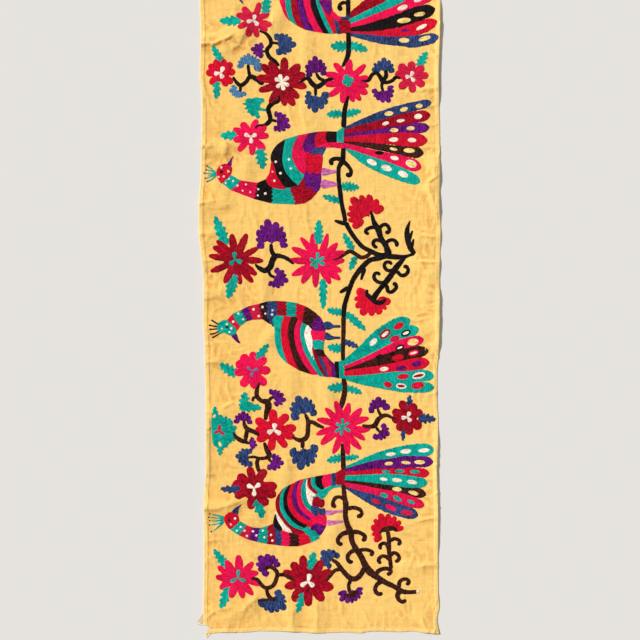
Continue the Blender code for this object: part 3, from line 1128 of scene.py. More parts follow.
FEATHERS = rows("colour knots", """
dark_red 62,505,13 98,528,24 136,553,32 170,575,35 206,598,21
teal 62,494,10 98,510,14 136,527,17 174,547,22 217,572,21
pink 62,485,12 98,496,22 136,510,26 174,525,30 208,540,27 242,551,19
black 64,478,8 102,482,18 136,489,25 170,498,30 204,510,33 244,522,23
red 62,473,7 102,471,14 136,470,17 170,473,20 204,480,30 248,495,23
navy 63,468,7 102,461,14 136,455,17 170,453,21 204,453,26 251,462,21
navy 49,266,7 85,280,14 119,292,18 153,303,21 187,312,21 236,324,17
dark_red 49,261,9 85,269,14 119,275,18 153,283,22 187,290,26 234,298,23
purple 49,253,11 85,257,13 119,261,14 153,265,18 187,268,24 232,271,22
red 49,246,10 85,247,15 119,247,20 153,247,26 187,245,31 228,243,26
brown 49,240,8 85,236,12 119,231,15 153,225,17 182,221,24 220,216,27
pink 34,234,14 64,230,12 98,220,14 132,211,18 165,202,25 215,185,28
teal 55,226,5 85,212,23 115,196,29 144,184,31 174,171,29 212,155,20
teal 54,-227,15 90,-202,25 122,-175,32 151,-155,33 191,-135,29
teal 54,-232,13 94,-210,25 127,-190,30 161,-171,31 209,-154,25
pink 49,-238,8 85,-224,10 119,-209,13 149,-196,17 174,-187,22 220,-177,23
brown 49,-244,7 85,-235,14 119,-225,21 153,-216,26 187,-207,28 230,-201,22
red 49,-250,10 85,-246,16 119,-242,16 153,-237,19 187,-232,26 232,-225,24
teal 53,-257,8 89,-257,13 127,-255,16 165,-254,21 199,-253,27 242,-255,23
teal 53,-260,5 89,-265,17 127,-270,22 165,-275,26 199,-278,25 242,-279,21
teal 51,-451,7 85,-439,13 119,-427,19 153,-419,23 187,-414,28 242,-410,30
purple 51,-454,6 85,-448,14 119,-442,19 153,-439,23 187,-436,26 240,-436,22
red 51,-460,10 85,-458,13 119,-457,15 153,-456,19 187,-458,22 232,-461,20
teal 53,-470,10 85,-471,14 119,-472,20 153,-474,25 187,-478,27 228,-481,21
brown 51,-478,6 85,-483,13 119,-486,16 153,-490,19 187,-497,22 225,-506,20
pink 49,-483,8 85,-491,13 119,-499,15 153,-508,21 182,-517,25 221,-529,20
navy 55,-490,5 85,-503,18 119,-519,26 149,-531,29 178,-541,28 208,-550,22
""")
for number, row in enumerate(FEATHERS):
    stroke(row.colour, row.knots, lengthwise=False, raised=FEATHER_STEP * (number % 2), spacing=3.4,
           blunt_start=True, pointed=True)


MARK_LIFT = 0.76
MARK_ON_MARK = 0.26  # how much higher a mark lies that is sewn on top of another


def oval(row, raised):
    """A mark on a feather: a disc drawn out along the feather, almost flush with its silk."""
    points = 16
    rings = (0.02, 0.55, 0.86, 1.0)
    turn = math.radians(row.turn)

    def place(ring, number):
        angle = 2 * math.pi * number / points
        along, across = row.long * ring * math.cos(angle), row.short * ring * math.sin(angle)
        x = row.x + along * math.cos(turn) - across * math.sin(turn)
        y = row.y + along * math.sin(turn) + across * math.cos(turn)
        height = MARK_LIFT + raised + 0.1 * min((1.0 - ring) * row.short, 1.0)
        return x, y, height, along, across

    patch(row.colour, rings, range(points + 1), place, closed=True)


MARKS = rows("colour x y long short turn", """
rose -212 -364 6.9 3.5 88
rose -218 -373 5.9 3.3 20
rose -207 -375 7.3 3 -36
yellow -223 -340 4.3 2.8 60
yellow -211 -399 5.5 3 -70
cream 175 524 11.4 5.1 20
cream 208 541 9.5 4.9 18
yellow 178 497 14.6 5.6 7
yellow 211 510 11.9 4.7 9
cream 215 483 12.4 4.1 27
purple 180 476 9.6 2.8 3
yellow 178 455 11 5.4 0
yellow 222 459 13.7 4.9 17
yellow 146 300 9.6 4.9 8
yellow 178 309 8.7 4.7 12
yellow 210 316 7.5 4.7 8
cream 139 279 7.5 3.9 20
cream 171 285 8.7 3.5 9
cream 208 294 8.3 5.7 8
yellow 157 265 8.9 4.4 2
yellow 192 269 8.7 4.4 3
cream 156 245 10 4.7 5
cream 195 244 9.1 4.7 -3
yellow 156 225 8.5 3.3 -13
yellow 189 222 12.1 4.9 -4
black 126 217 9.6 4.2 0
cream 158 206 8.9 4.3 -12
cream 193 194 12 7.7 -22
yellow 193 194 10.5 6.1 -22
cream 110 197 11.2 5.7 -25
cream 141 185 11.6 6.3 -18
cream 176 172 11.2 6.3 -25
cream 113 -183 10 5.7 45
dark_red 138 -166 13.7 8.4 40
cream 138 -166 9.1 3.7 38
red 167 -149 11.4 6.8 28
rose 158 -176 11 6.3 22
black 182 -164 11 6.8 24
cream 182 -164 7.1 3 24
yellow 197 -183 11.9 7.2 12
black 169 -195 10.1 6.1 22
cream 169 -195 6.2 2 22
black 126 -214 9.1 4.7 14
red 165 -216 12.8 6.8 12
pink 198 -206 11.2 6.3 16
cream 198 -206 7.7 2.4 16
cream 136 -240 9.5 4.5 6
purple 172 -238 11.4 5.1 8
purple 205 -229 11.4 6.1 14
red 176 -256 12.6 5.8 6
cream 209 -254 14.1 6.9 14
dark_red 209 -254 11 3 12
red 144 -273 9.1 6.3 -20
cream 172 -276 11.2 5.9 -6
dark_red 172 -276 7.8 3 -4
red 207 -275 13.7 7.9 6
pink 207 -275 7.3 3.7 6
cream 150 -420 10.4 4.1 3
cream 182 -414 11.6 4.9 4
cream 220 -412 12 4.3 5
yellow 146 -440 8.7 4 5
yellow 182 -438 10.5 3.5 -5
yellow 211 -437 11.4 4.4 -2
teal 140 -457 8.7 3.7 -3
teal 169 -456 10.5 3.7 -3
teal 201 -457 10.5 4 -3
cream 135 -473 8.3 3.5 -8
cream 163 -475 10.8 4.3 -6
cream 195 -479 11.2 4.5 -9
yellow 163 -494 10.1 4.7 -8
yellow 198 -502 11 4.4 -16
teal 136 -507 8.7 4.7 -18
teal 164 -514 10.1 4.7 -32
teal 193 -521 8.7 3.7 -22
rose 119 -520 10.1 4.7 -24
pink 150 -533 12.8 5.1 -26
rose 184 -544 13.7 5.4 -6
""")
for below, row in zip([None, *MARKS], MARKS):
    oval(row, MARK_ON_MARK if below and (row.x, row.y) == (below.x, below.y) else 0.0)
print("feathers:", len(FEATHERS), "marks:", len(MARKS))

# %% [markdown]
# ## Birds: the bodies
# A body is worked in long bands that follow the breast, and a neck in short ones across it. Each row is a
# border between two bands, from its upper end to its lower one, and names the band to the right of it. A
# patch fills the space between each border and the next, so neighbours always meet. Where the borders of a
# neck are toothed, both bands share the teeth.

# %% Build the bands
BAND_LIFT = 0.1
TOOTH_SIZE = 2.2


def border_curve(row, count):
    """Points at even shares along a border, with its teeth."""
    fine = smooth_curve([tuple(knot) for knot in row.knots])
    _, length = at_lengths(fine, [0.0])
    spots, _ = at_lengths(fine, [length * number / count for number in range(count + 1)])
    if not row.teeth:
        return spots
    toothed = []
    for number, (x, y) in enumerate(spots):
        run = heading(spots, number)
        push = row.teeth * TOOTH_SIZE * (0, 1, 0, -1)[number % 4]
        toothed.append((x - run.y * push, y + run.x * push))
    return toothed


def band(left, right, crossing):
    """Silk between two borders. crossing says that the threads run from border to border."""
    count = 16 if left.teeth or right.teeth else 28
    one, two = border_curve(left, count), border_curve(right, count)
    width = sum(math.dist(a, b) for a, b in zip(one, two)) / (count + 1)
    length = sum(math.dist(a, b) for a, b in zip(one, one[1:]))

    def place(side, number):
        share = (side + 1.0) / 2
        x = one[number][0] * (1.0 - share) + two[number][0] * share
        y = one[number][1] * (1.0 - share) + two[number][1] * share
        depth = min(share, 1.0 - share) * math.dist(one[number], two[number])
        end = min(number, count - number) * length / count
        height = BAND_LIFT + min(crown(depth), crown(end + 0.25))
        along, offset = length * number / count, width * share
        return (x, y, height, offset, along) if crossing else (x, y, height, along, offset)

    patch(left.colour, stops(max(width, 1.5), 3.0), range(count + 1), place)


BORDERS = rows("group colour teeth knots", """
> top
pink 0 -82,596 -86,566 -86,541 -81,524 -75,509 -66,497
teal 0 -69,604 -73,570 -73,541 -72,524 -68,508 -63,496
dark_red 0 -55,613 -60,575 -61,541 -60,520 -55,501 -47,485
purple 0 -40,615 -47,575 -48,541 -45,517 -39,496 -31,477
pink 0 -28,613 -33,575 -35,541 -31,520 -23,496 -10,473
black 0 -18,604 -19,570 -20,541 -17,520 -6,494 8,470
teal 0 -11,587 -11,562 -9,541 -4,522 7,494 20,469
red 0 -6,575 -5,558 -3,541 5,522 16,496 29,469
- 0 24,570 25,553 24,537 29,515 39,498 45,470
> one
black 0 -74,246 -93,232 -104,210 -99,185 -88,160 -73,141
teal 0 -73,246 -77,225 -79,202 -74,180 -61,162 -46,148
pink 0 -44,255 -55,236 -59,213 -53,193 -44,179 -32,170
- 0 -24,258 -32,242 -36,228 -28,213 -28,196 -29,176
> onetop
purple 0 -24,258 -33,242 -36,229 -29,216 -17,211
red 0 -4,262 -10,249 -10,236 -9,229 -9,223
black 0 16,263 13,255 13,247 16,240 18,238
teal 0 36,262 36,256 36,249 36,242 36,239
- 0 52,274 52,264 51,253 51,245 51,238
> two
navy 0 -111,-97 -113,-105 -112,-113 -114,-124 -109,-136 -100,-150
- 0 -92,-96 -94,-107 -91,-116 -96,-128 -99,-136 -97,-151
> body2
teal 0 -96,-127 -101,-138 -96,-154 -95,-183 -87,-209 -71,-227
red 0 -74,-125 -81,-145 -82,-166 -80,-190 -74,-213 -67,-229
brown 0 -59,-127 -66,-147 -67,-167 -63,-192 -55,-218 -44,-243
pink 0 -44,-130 -52,-149 -54,-168 -50,-194 -37,-224 -17,-252
teal 0 -34,-136 -41,-154 -41,-172 -35,-198 -22,-224 -3,-252
cream 0 -25,-142 -32,-160 -32,-174 -26,-194 -20,-209 -13,-223
- 0 -21,-147 -15,-161 -14,-174 -14,-189 -14,-205 -10,-222
> slant2
teal 0 -17,-214 -15,-225 -11,-237 -6,-246 -2,-255
dark_red 0 -15,-183 -17,-199 -11,-217 -3,-236 9,-256
navy 0 -11,-194 -8,-205 -1,-222 6,-239 14,-257
rose 0 -6,-209 5,-218 11,-231 15,-245 18,-257
purple 0 13,-210 20,-223 25,-234 25,-245 25,-257
- 0 24,-225 31,-229 33,-237 34,-247 34,-258
> base2
black 0 31,-224 32,-237 33,-247 33,-258
teal 0 40,-224 40,-236 41,-247 41,-260
- 0 55,-219 53,-234 53,-246 54,-261
> three
cream 0 -94,-544 -91,-559 -83,-574 -72,-584 -58,-587
- 0 -92,-540 -86,-551 -80,-560 -68,-575 -55,-586
> body3
dark_red 0 -79,-494 -91,-510 -94,-525 -91,-542 -80,-560 -68,-574 -54,-586
teal 0 -74,-490 -83,-506 -85,-524 -82,-542 -72,-559 -57,-574 -37,-582
black 0 -66,-486 -75,-501 -77,-519 -74,-538 -64,-554 -50,-568 -32,-577
red 0 -60,-483 -66,-499 -69,-517 -65,-535 -56,-550 -42,-563 -24,-571
purple 0 -48,-477 -56,-493 -59,-513 -54,-532 -41,-549 -18,-563
pink 0 -41,-474 -48,-491 -49,-512 -44,-532 -32,-546 -17,-557
teal 0 -33,-472 -39,-489 -39,-509 -34,-525 -26,-536 -17,-543
cream 0 -27,-471 -30,-485 -29,-500 -27,-515 -22,-525 -16,-530
- 0 -26,-476 -26,-489 -19,-497 -6,-508 -14,-516 -16,-529
> tail3
dark_red 0 -27,-471 -26,-482 -23,-492 -15,-500 -6,-506
teal 0 -18,-469 -19,-479 -16,-489 -8,-497 0,-503
black 0 -9,-467 -10,-478 -6,-487 0,-493 6,-496
pink 0 9,-464 5,-472 5,-480 7,-487 10,-492
navy 0 24,-461 24,-469 24,-476 24,-483 24,-488
dark_red 0 34,-459 34,-466 34,-475 34,-482 35,-488
- 0 54,-447 54,-458 54,-469 54,-480 54,-491
> neck1
teal 0.9 -189,171 -196,162 -207,153
pink 0.9 -168,159 -176,148 -188,138
black 0.9 -132,154 -134,137 -138,119
teal 1.0 -102,145 -100,127 -101,110
dark_red 1.0 -62,144 -57,126 -51,108
dark_red 0 -33,147 -33,128 -33,110
dark_red 0 -14,145 -15,134 -18,119
- 0 2,148 -2,141 -7,131
> wedge1
black 0 -132,154 -123,150 -114,143 -102,130
- 0 -113,162 -112,156 -107,148 -99,140
> neck2
red 0.5 -197,-137 -187,-150 -180,-166
teal 0.7 -184,-123 -178,-138 -168,-149
purple 0.8 -168,-116 -159,-129 -154,-139
rose 0.9 -151,-107 -147,-122 -142,-136
brown 0.9 -129,-102 -125,-117 -121,-135
navy 0.9 -111,-97 -111,-117 -105,-146
dark_red 0.9 -91,-96 -90,-111 -91,-127
teal 0.9 -71,-97 -70,-113 -71,-129
red 0.9 -50,-100 -50,-116 -51,-131
brown 0.9 -30,-107 -33,-122 -35,-142
- 0 -7,-122 -14,-138 -19,-155
> neck3
teal 0.8 -170,-561 -176,-569 -189,-580
rose 0.8 -155,-570 -163,-582 -171,-592
purple 0.9 -141,-575 -146,-588 -151,-601
teal 0.9 -127,-576 -129,-591 -131,-606
dark_red 0.9 -111,-572 -110,-590 -111,-610
navy 0.9 -99,-567 -94,-589 -94,-612
pink 0.9 -83,-580 -80,-596 -81,-614
brown 0.9 -65,-585 -63,-601 -64,-615
red 0.9 -47,-584 -44,-600 -44,-615
teal 0.9 -30,-580 -22,-594 -18,-607
- 0 -14,-573 -6,-586 0,-598
> neck4
rose 0.5 -194,592 -187,579 -183,564
purple 0.7 -184,606 -178,591 -168,580
teal 0.8 -168,615 -159,602 -154,590
black 0.9 -151,623 -147,609 -142,594
pink 0.9 -129,629 -126,613 -122,595
dark_red 0.9 -109,634 -107,615 -104,594
teal 0.9 -90,638 -88,618 -84,592
navy 0.9 -68,642 -68,624 -69,600
red 0.9 -45,644 -47,628 -49,610
teal 0.9 -23,640 -26,625 -29,609
purple 0.9 -2,628 -9,614 -17,600
dark_red 0.9 14,608 4,597 -9,584
- 0 25,582 11,577 -5,573
""")
made = 0
for left, right in zip(BORDERS, BORDERS[1:]):
    if left.group == right.group and left.colour != "-":
        band(left, right, left.group.startswith(("neck", "wedge")))
        made += 1
print("bands:", made)

# %% [markdown]
# ## Birds: heads, blocks and small marks
# Heads and the blocks of colour above the tail are patches inside a rounded outline, filled from their
# middle. Crests and legs are fine strokes, and knots of pale thread dot the neck.

# %% Build the blocks
BLOCK_LIFT = 0.16
FINE_LIFT = 0.1
DOT_LIFT = 0.42


def block(row):
    outline = smooth_curve([tuple(knot) for knot in row.knots], pieces=5, loop=True)
    middle = [sum(values) / len(outline) for values in zip(*outline)]
    rings = (0.02, 0.2, 0.35, 0.5, 0.65, 0.86, 0.95, 1.0)

    def place(ring, number):
        x, y = outline[number % len(outline)]
        reach = math.dist(middle, (x, y))
        x = middle[0] + (x - middle[0]) * ring
        y = middle[1] + (y - middle[1]) * ring
        height = BLOCK_LIFT + row.raised + crown((1.0 - ring) * reach)
        return x, y, height, x - middle[0], y - middle[1]

    patch(row.colour, rings, range(len(outline) + 1), place, closed=True)


BLOCKS = rows("colour raised knots", """
teal 0 -158,328 -151,333 -143,332 -135,335 -127,333 -121,333 -117,327 -124,322 -126,316 -122,311 \
-114,310 -114,305 -124,306 -130,306 -129,299 -126,293 -132,289 -138,295 -143,294 -149,301 -154,302 \
-153,309 -160,310 -155,316 -164,321 -157,324
teal 0 -226,-331 -230,-350 -229,-369 -228,-386 -225,-401 -215,-406 -211,-409 -205,-408 -194,-402 \
-190,-393 -179,-392 -183,-379 -177,-366 -185,-362 -184,-351 -191,-347 -199,-352 -205,-344 -212,-338 \
-219,-331
purple 0 -1,539 23,540 25,524 23,510 13,513 6,524
pink 0 22,511 29,516 39,507 46,504 45,496 32,497
navy 0 29,498 38,497 41,484 45,470 35,470 33,484
dark_red 0 40,497 63,497 65,484 64,469 51,470 44,471
navy 0 42,505 53,505 63,510 63,500 53,496 44,497
red 0 -5,577 25,571 25,539 9,538 -3,540
teal 0 -213,579 -209,587 -198,592 -188,587 -181,577 -187,563 -198,562 -208,570
black 0.4 -199,578 -196,581 -193,578 -196,575
navy 0 -188,562 -177,567 -170,551 -162,532 -175,544
red 0 -219,175 -216,184 -208,192 -198,194 -188,190 -185,181 -189,169 -198,160 -207,152 -215,161
purple 0 -198,191 -192,199 -188,205 -183,210 -186,201 -187,190 -193,189
black 0.4 -211,178 -207,180 -204,177 -208,173 -211,175
red 0 -30,218 -19,216 -6,216 6,212 5,189 3,173 -14,173 -29,175
navy 0 -18,220 -11,228 1,231 13,229 10,220 4,209 -1,206 -7,212 -15,208
pink 0 -11,228 0,233 19,239 36,239 52,238 54,227 36,228 19,228 12,228 1,231
purple 0 -28,182 -22,173 -12,179 -5,172 3,175 2,146 -5,134 -11,133 -18,142 -28,142 -33,155 -35,165
red 0 -102,201 -107,175 -114,162 -111,151 -97,142 -72,139 -80,152 -91,170 -96,190
dark_red 0 -63,142 -50,148 -43,152 -36,163 -30,153 -28,142 -21,140 -15,132 -25,126 -46,126 -61,132
teal 0 -218,-149 -211,-140 -198,-136 -186,-145 -176,-155 -179,-167 -191,-169 -203,-163 -212,-165
black 0.4 -200,-151 -196,-149 -193,-151 -196,-154
purple 0 -188,-168 -177,-165 -172,-177 -168,-186 -177,-182
brown 0 -38,-139 -29,-110 -14,-119 -3,-128 -13,-138 -17,-155 -26,-147
purple 0 -11,-127 -2,-127 6,-138 10,-150 11,-160 -4,-160 -17,-158 -21,-149 -16,-138
pink 0 -19,-157 -4,-159 11,-158 11,-171 9,-182 -5,-179 -14,-182 -19,-169
teal 0 -15,-179 -3,-177 9,-180 8,-189 7,-200 -2,-198 -10,-200 -15,-190
brown 0 -11,-199 -2,-197 7,-199 10,-207 14,-213 3,-215 -6,-211
red 0 -203,-557 -199,-548 -190,-542 -179,-543 -173,-549 -170,-561 -177,-570 -189,-579 -198,-570
navy 0 -186,-543 -181,-535 -174,-530 -165,-526 -171,-535 -174,-548
brown 0.4 -195,-558 -191,-557 -189,-560 -192,-563
black 0 -94,-546 -89,-560 -79,-577 -84,-583 -94,-577 -99,-566
dark_red 0 -17,-524 -14,-513 -5,-508 3,-515 9,-516 10,-528 3,-534 -3,-531 -8,-532 -15,-531
navy 0 -19,-530 -8,-529 -2,-532 -3,-543 -7,-552 -16,-548 -19,-539
navy 0 -4,-534 3,-535 11,-535 12,-548 5,-550 -3,-546
pink 0 -17,-547 -8,-551 -2,-546 7,-549 13,-549 15,-561 12,-573 3,-569 -7,-568 -18,-571
dark_red 0 -61,-579 -57,-588 -44,-590 -31,-586 -34,-582 -47,-578
red 0 -26,-562 -17,-559 -15,-573 -22,-575 -28,-572
purple 0 -19,-571 -9,-566 -2,-568 13,-569 9,-581 1,-592 -5,-590 -11,-582 -19,-582
teal 0 -36,-581 -33,-576 -24,-573 -19,-582 -10,-582 -5,-590 0,-593 -10,-603 -18,-602 -24,-591 -28,-591
""")
for row in BLOCKS:
    block(row)

FINE_STROKES = rows("colour knots", """
> teal
-219,174,3.4 -229,183,3.2 -238,189,3
-219,173,3 -230,179,2.8 -240,181,2.5
-219,173,3 -232,173,2.5 -244,174,2.5
-219,171,3 -230,167,2.8 -241,163,2.5
-219,170,3.4 -227,162,3.2 -238,156,2.8
-219,172,2.5 -230,170,2.1 -237,169,1.7
> dark_red
-237,188,5.9 -240,190,5.9
-239,181,5.9 -242,182,5.9
-243,174,6.3 -246,174,6.3
-241,163,5.9 -244,163,5.9
-237,157,5.9 -240,156,5.9
> brown
-211,-148,3.8 -222,-141,3.2 -230,-136,3.8
-213,-151,3.4 -226,-149,3 -235,-147,4.2
-214,-155,3.4 -226,-156,3 -234,-156,4.2
-213,-160,3.4 -224,-165,3 -233,-166,4.2
-209,-163,3.4 -220,-170,3 -228,-174,4.7
> teal
-203,-554,5.5 -215,-550,3.8 -228,-547,3
-203,-557,4.7 -218,-555,3 -231,-554,2.1
-203,-559,4.7 -218,-561,3 -230,-561,2.1
-203,-561,4.7 -215,-567,3.2 -231,-570,2.3
-203,-563,5.1 -214,-573,3.4 -225,-583,2.5
> brown
-231,-546,4.2 -234,-545,4.2
-233,-554,3.8 -236,-553,3.8
-231,-561,4.2 -234,-560,4.2
-232,-570,4.2 -235,-570,4.2
-228,-583,4.2 -231,-585,4.2
-213,585,3.6 -226,592,3.2 -237,600,3.8
-215,581,3.4 -228,583,3 -241,585,3.8
-215,576,3.4 -228,575,3 -241,574,3.8
-213,572,3.4 -226,566,3 -237,562,3.8
> teal
49,-487,6.3 30,-488,7.6 17,-494,10.6 6,-504,16.1 -4,-510,16.1 -17,-512,6.3
> lilac
1,176,19 9,177,17.8 24,177,9.7 39,178,5.1
1,152,20.3 9,151,19.9 24,151,12.3 39,150,6.3
> navy
6,-148,13.8 13,-148,17.4 21,-149,16.1 29,-150,7.2 44,-150,5.9
6,-168,12.7 13,-170,16.1 20,-173,13.5 29,-174,6.8 44,-174,5.5
> lilac
12,-543,13.5 24,-544,10.6 34,-542,5.9 49,-541,5.1
14,-565,14 26,-565,10.6 39,-563,6.3 50,-562,5.5
23,567,12 31,567,14 41,568,8 57,568,5.5
23,550,11 31,549,13 41,548,7 57,549,5.2
""")
for row in FINE_STROKES:
    stroke(row.colour, row.knots, raised=FINE_LIFT, spacing=2.5)

DOTS = rows("x y size", """
-208 186 2.8
-193 178 3
-214 166 2.3
-203 167 2.5
-192 162 2.3
-183 157 2.5
-199 153 2.3
-174 148 2.5
-156 150 2.1
-163 137 2.1
-147 134 2.1
-130 140 2.5
-131 127 2.3
-115 131 3.2
-100 177 2.1
-96 158 2.8
-93 198 3
-83 174 3.2
-65 203 3
-61 184 2.8
-196 -145 2.8
-207 -155 2.5
-187 -154 3
-191 -162 2.5
-183 -140 3
-172 -123 2.8
-162 -135 2.5
-140 -114 3
-129 -128 2.8
-121 -109 3
-115 -123 2.5
-100 -116 2.5
-101 -125 3
-179 -556 3
-188 -569 2.5
-167 -574 2.8
-175 -582 2.5
-159 -582 2.5
-154 -593 2.8
-141 -583 2.8
-134 -592 2.8
-120 -582 2.8
-117 -596 2.5
-103 -591 2.8
-100 -603 2.8
-188 581 2.8
-198 566 2.8
-169 600 2.8
-143 615 2.8
-124 619 2.8
207 -711 3.2
""")
for row in DOTS:
    disc("cream", row.x, row.y, row.size, raised=DOT_LIFT, points=10)
print("blocks:", len(BLOCKS), "fine strokes:", len(FINE_STROKES), "dots:", len(DOTS))

# %% [markdown]
# ## Stitches of the hem
# Running stitches hold the hem down. They show as a dotted line along each edge, and as two on the right.

# %% Build the hem's stitches
HEM_PITCH = 5.6  # from one stitch to the next
HEM_STITCH = 0.55  # how much of that the stitch takes up


def hem_stitches(points, pitch):
    """Small raised dashes along a line, each with a slightly different place and slant."""
    _, length = at_lengths(points, [0.0])
    for number in range(int(length / pitch)):
        start = number * pitch + random.uniform(0.0, 1.2)
        spots, _ = at_lengths(points, [start, start + pitch * HEM_STITCH])
        (x1, y1), (x2, y2) = spots
        turn = Vector((x2 - x1, y2 - y1)).normalized()
        slip = random.uniform(-0.25, 0.25)

        def place(side, share):
            offset = side * 0.38 * (0.35 + 0.65 * math.sin(math.pi * share)) + slip
            x = x1 + (x2 - x1) * share - turn.y * offset
            y = y1 + (y2 - y1) * share + turn.x * offset
            height = 0.02 + 0.3 * math.sin(math.pi * share) * (1.0 - abs(side))
            return x, y, height, 4.0 * share, offset

        patch("yellow", (-1.0, 0.0, 1.0), (0.0, 0.3, 0.7, 1.0), place)


def edge_line(inset, upwards):
    """Points along an inset of the outline. An inset below zero is from the left edge or the lower end."""
    half, other = (PANEL_WIDTH / 2, PANEL_LENGTH / 2) if upwards else (PANEL_LENGTH / 2, PANEL_WIDTH / 2)
    count = 200 if upwards else 100
    along = np.linspace(HEM_WIDTH - other, other - HEM_WIDTH, count)
    place = np.full(count, math.copysign(half, inset) - inset)
    return list(zip(*(on_outline(place, along) if upwards else on_outline(along, place))))


for inset, upwards in ((-7.8, True), (7.9, True), (2.4, True), (-7.8, False), (7.8, False)):
    hem_stitches(edge_line(inset, upwards), HEM_PITCH)
print("yellow silk so far:", len(silk["yellow"][0].faces), "faces")

# %% [markdown]
# ## Loose threads
# Where the corner is torn, a few threads of the weave have pulled out and lie on the surface. Each is a
# thin tube: a net wrapped round a curve, with its seam closed.

# %% Build the frayed threads
FRAY_SIZE = 0.4
FRAY_SIDES = 6


def loose_thread(bm, knots):
    fine = smooth_curve([tuple(knot) for knot in knots], pieces=5)
    made = bmesh.ops.create_grid(bm, x_segments=FRAY_SIDES, y_segments=len(fine) - 1, size=0.5)
    for number, vert in enumerate(made["verts"]):
        step, side = divmod(number, FRAY_SIDES + 1)
        run = heading(fine, step)
        x, y, z = fine[step]
        turn = 2 * math.pi * side / FRAY_SIDES
        size = FRAY_SIZE * (0.25 if step in (0, len(fine) - 1) else 1.0)
        offset, rise = size * math.cos(turn), size * math.sin(turn)
        vert.co = Vector((x - run.y * offset, y + run.x * offset, z + rise)) * MM
    bmesh.ops.remove_doubles(bm, verts=made["verts"], dist=0.00001)


FRAYS = rows("knots", """
-245,-755.3,0.9 -249.7,-761.7,0.7 -254.6,-768.6,0.5 -259.4,-774.6,0.45
-245,-758.5,0.9 -248.4,-764.8,0.7 -252.7,-772,0.5 -257.7,-776.3,0.45
-241.9,-762.7,1.2 -245.9,-764.4,0.8 -246.3,-771.2,0.6 -251.4,-777.5,0.5 -256.7,-780.5,0.45
-242.9,-773.3,1.1 -248,-776.7,0.7 -253.5,-779.6,0.5 -258.8,-780.9,0.45
-240.8,-779.6,1.0 -246.3,-780.9,0.6 -252.2,-783.4,0.45
-244.6,-763.8,1.0 -248.8,-770.8,0.6 -254.3,-776.7,0.45
-231.1,-793.2,0.9 -235.7,-797.4,0.6 -238.7,-802.9,0.5 -240,-808,0.45
-228.1,-797.8,0.9 -232.8,-801.6,0.6 -236.6,-805.9,0.5 -239.1,-808.8,0.45
-234.5,-793.4,0.8 -238.3,-797.8,0.5 -240,-802.9,0.45
-229.2,-784.9,1.0 -233.4,-788.5,0.5 -236.1,-788.5,0.45
""")
bm = bmesh.new()
for row in FRAYS:
    loose_thread(bm, row.knots)
bmesh.ops.recalc_face_normals(bm, faces=bm.faces)
for face in bm.faces:
    face.smooth = True
frayed_threads = add_object("frayed_threads", bm)
print("frayed threads:", len(FRAYS))
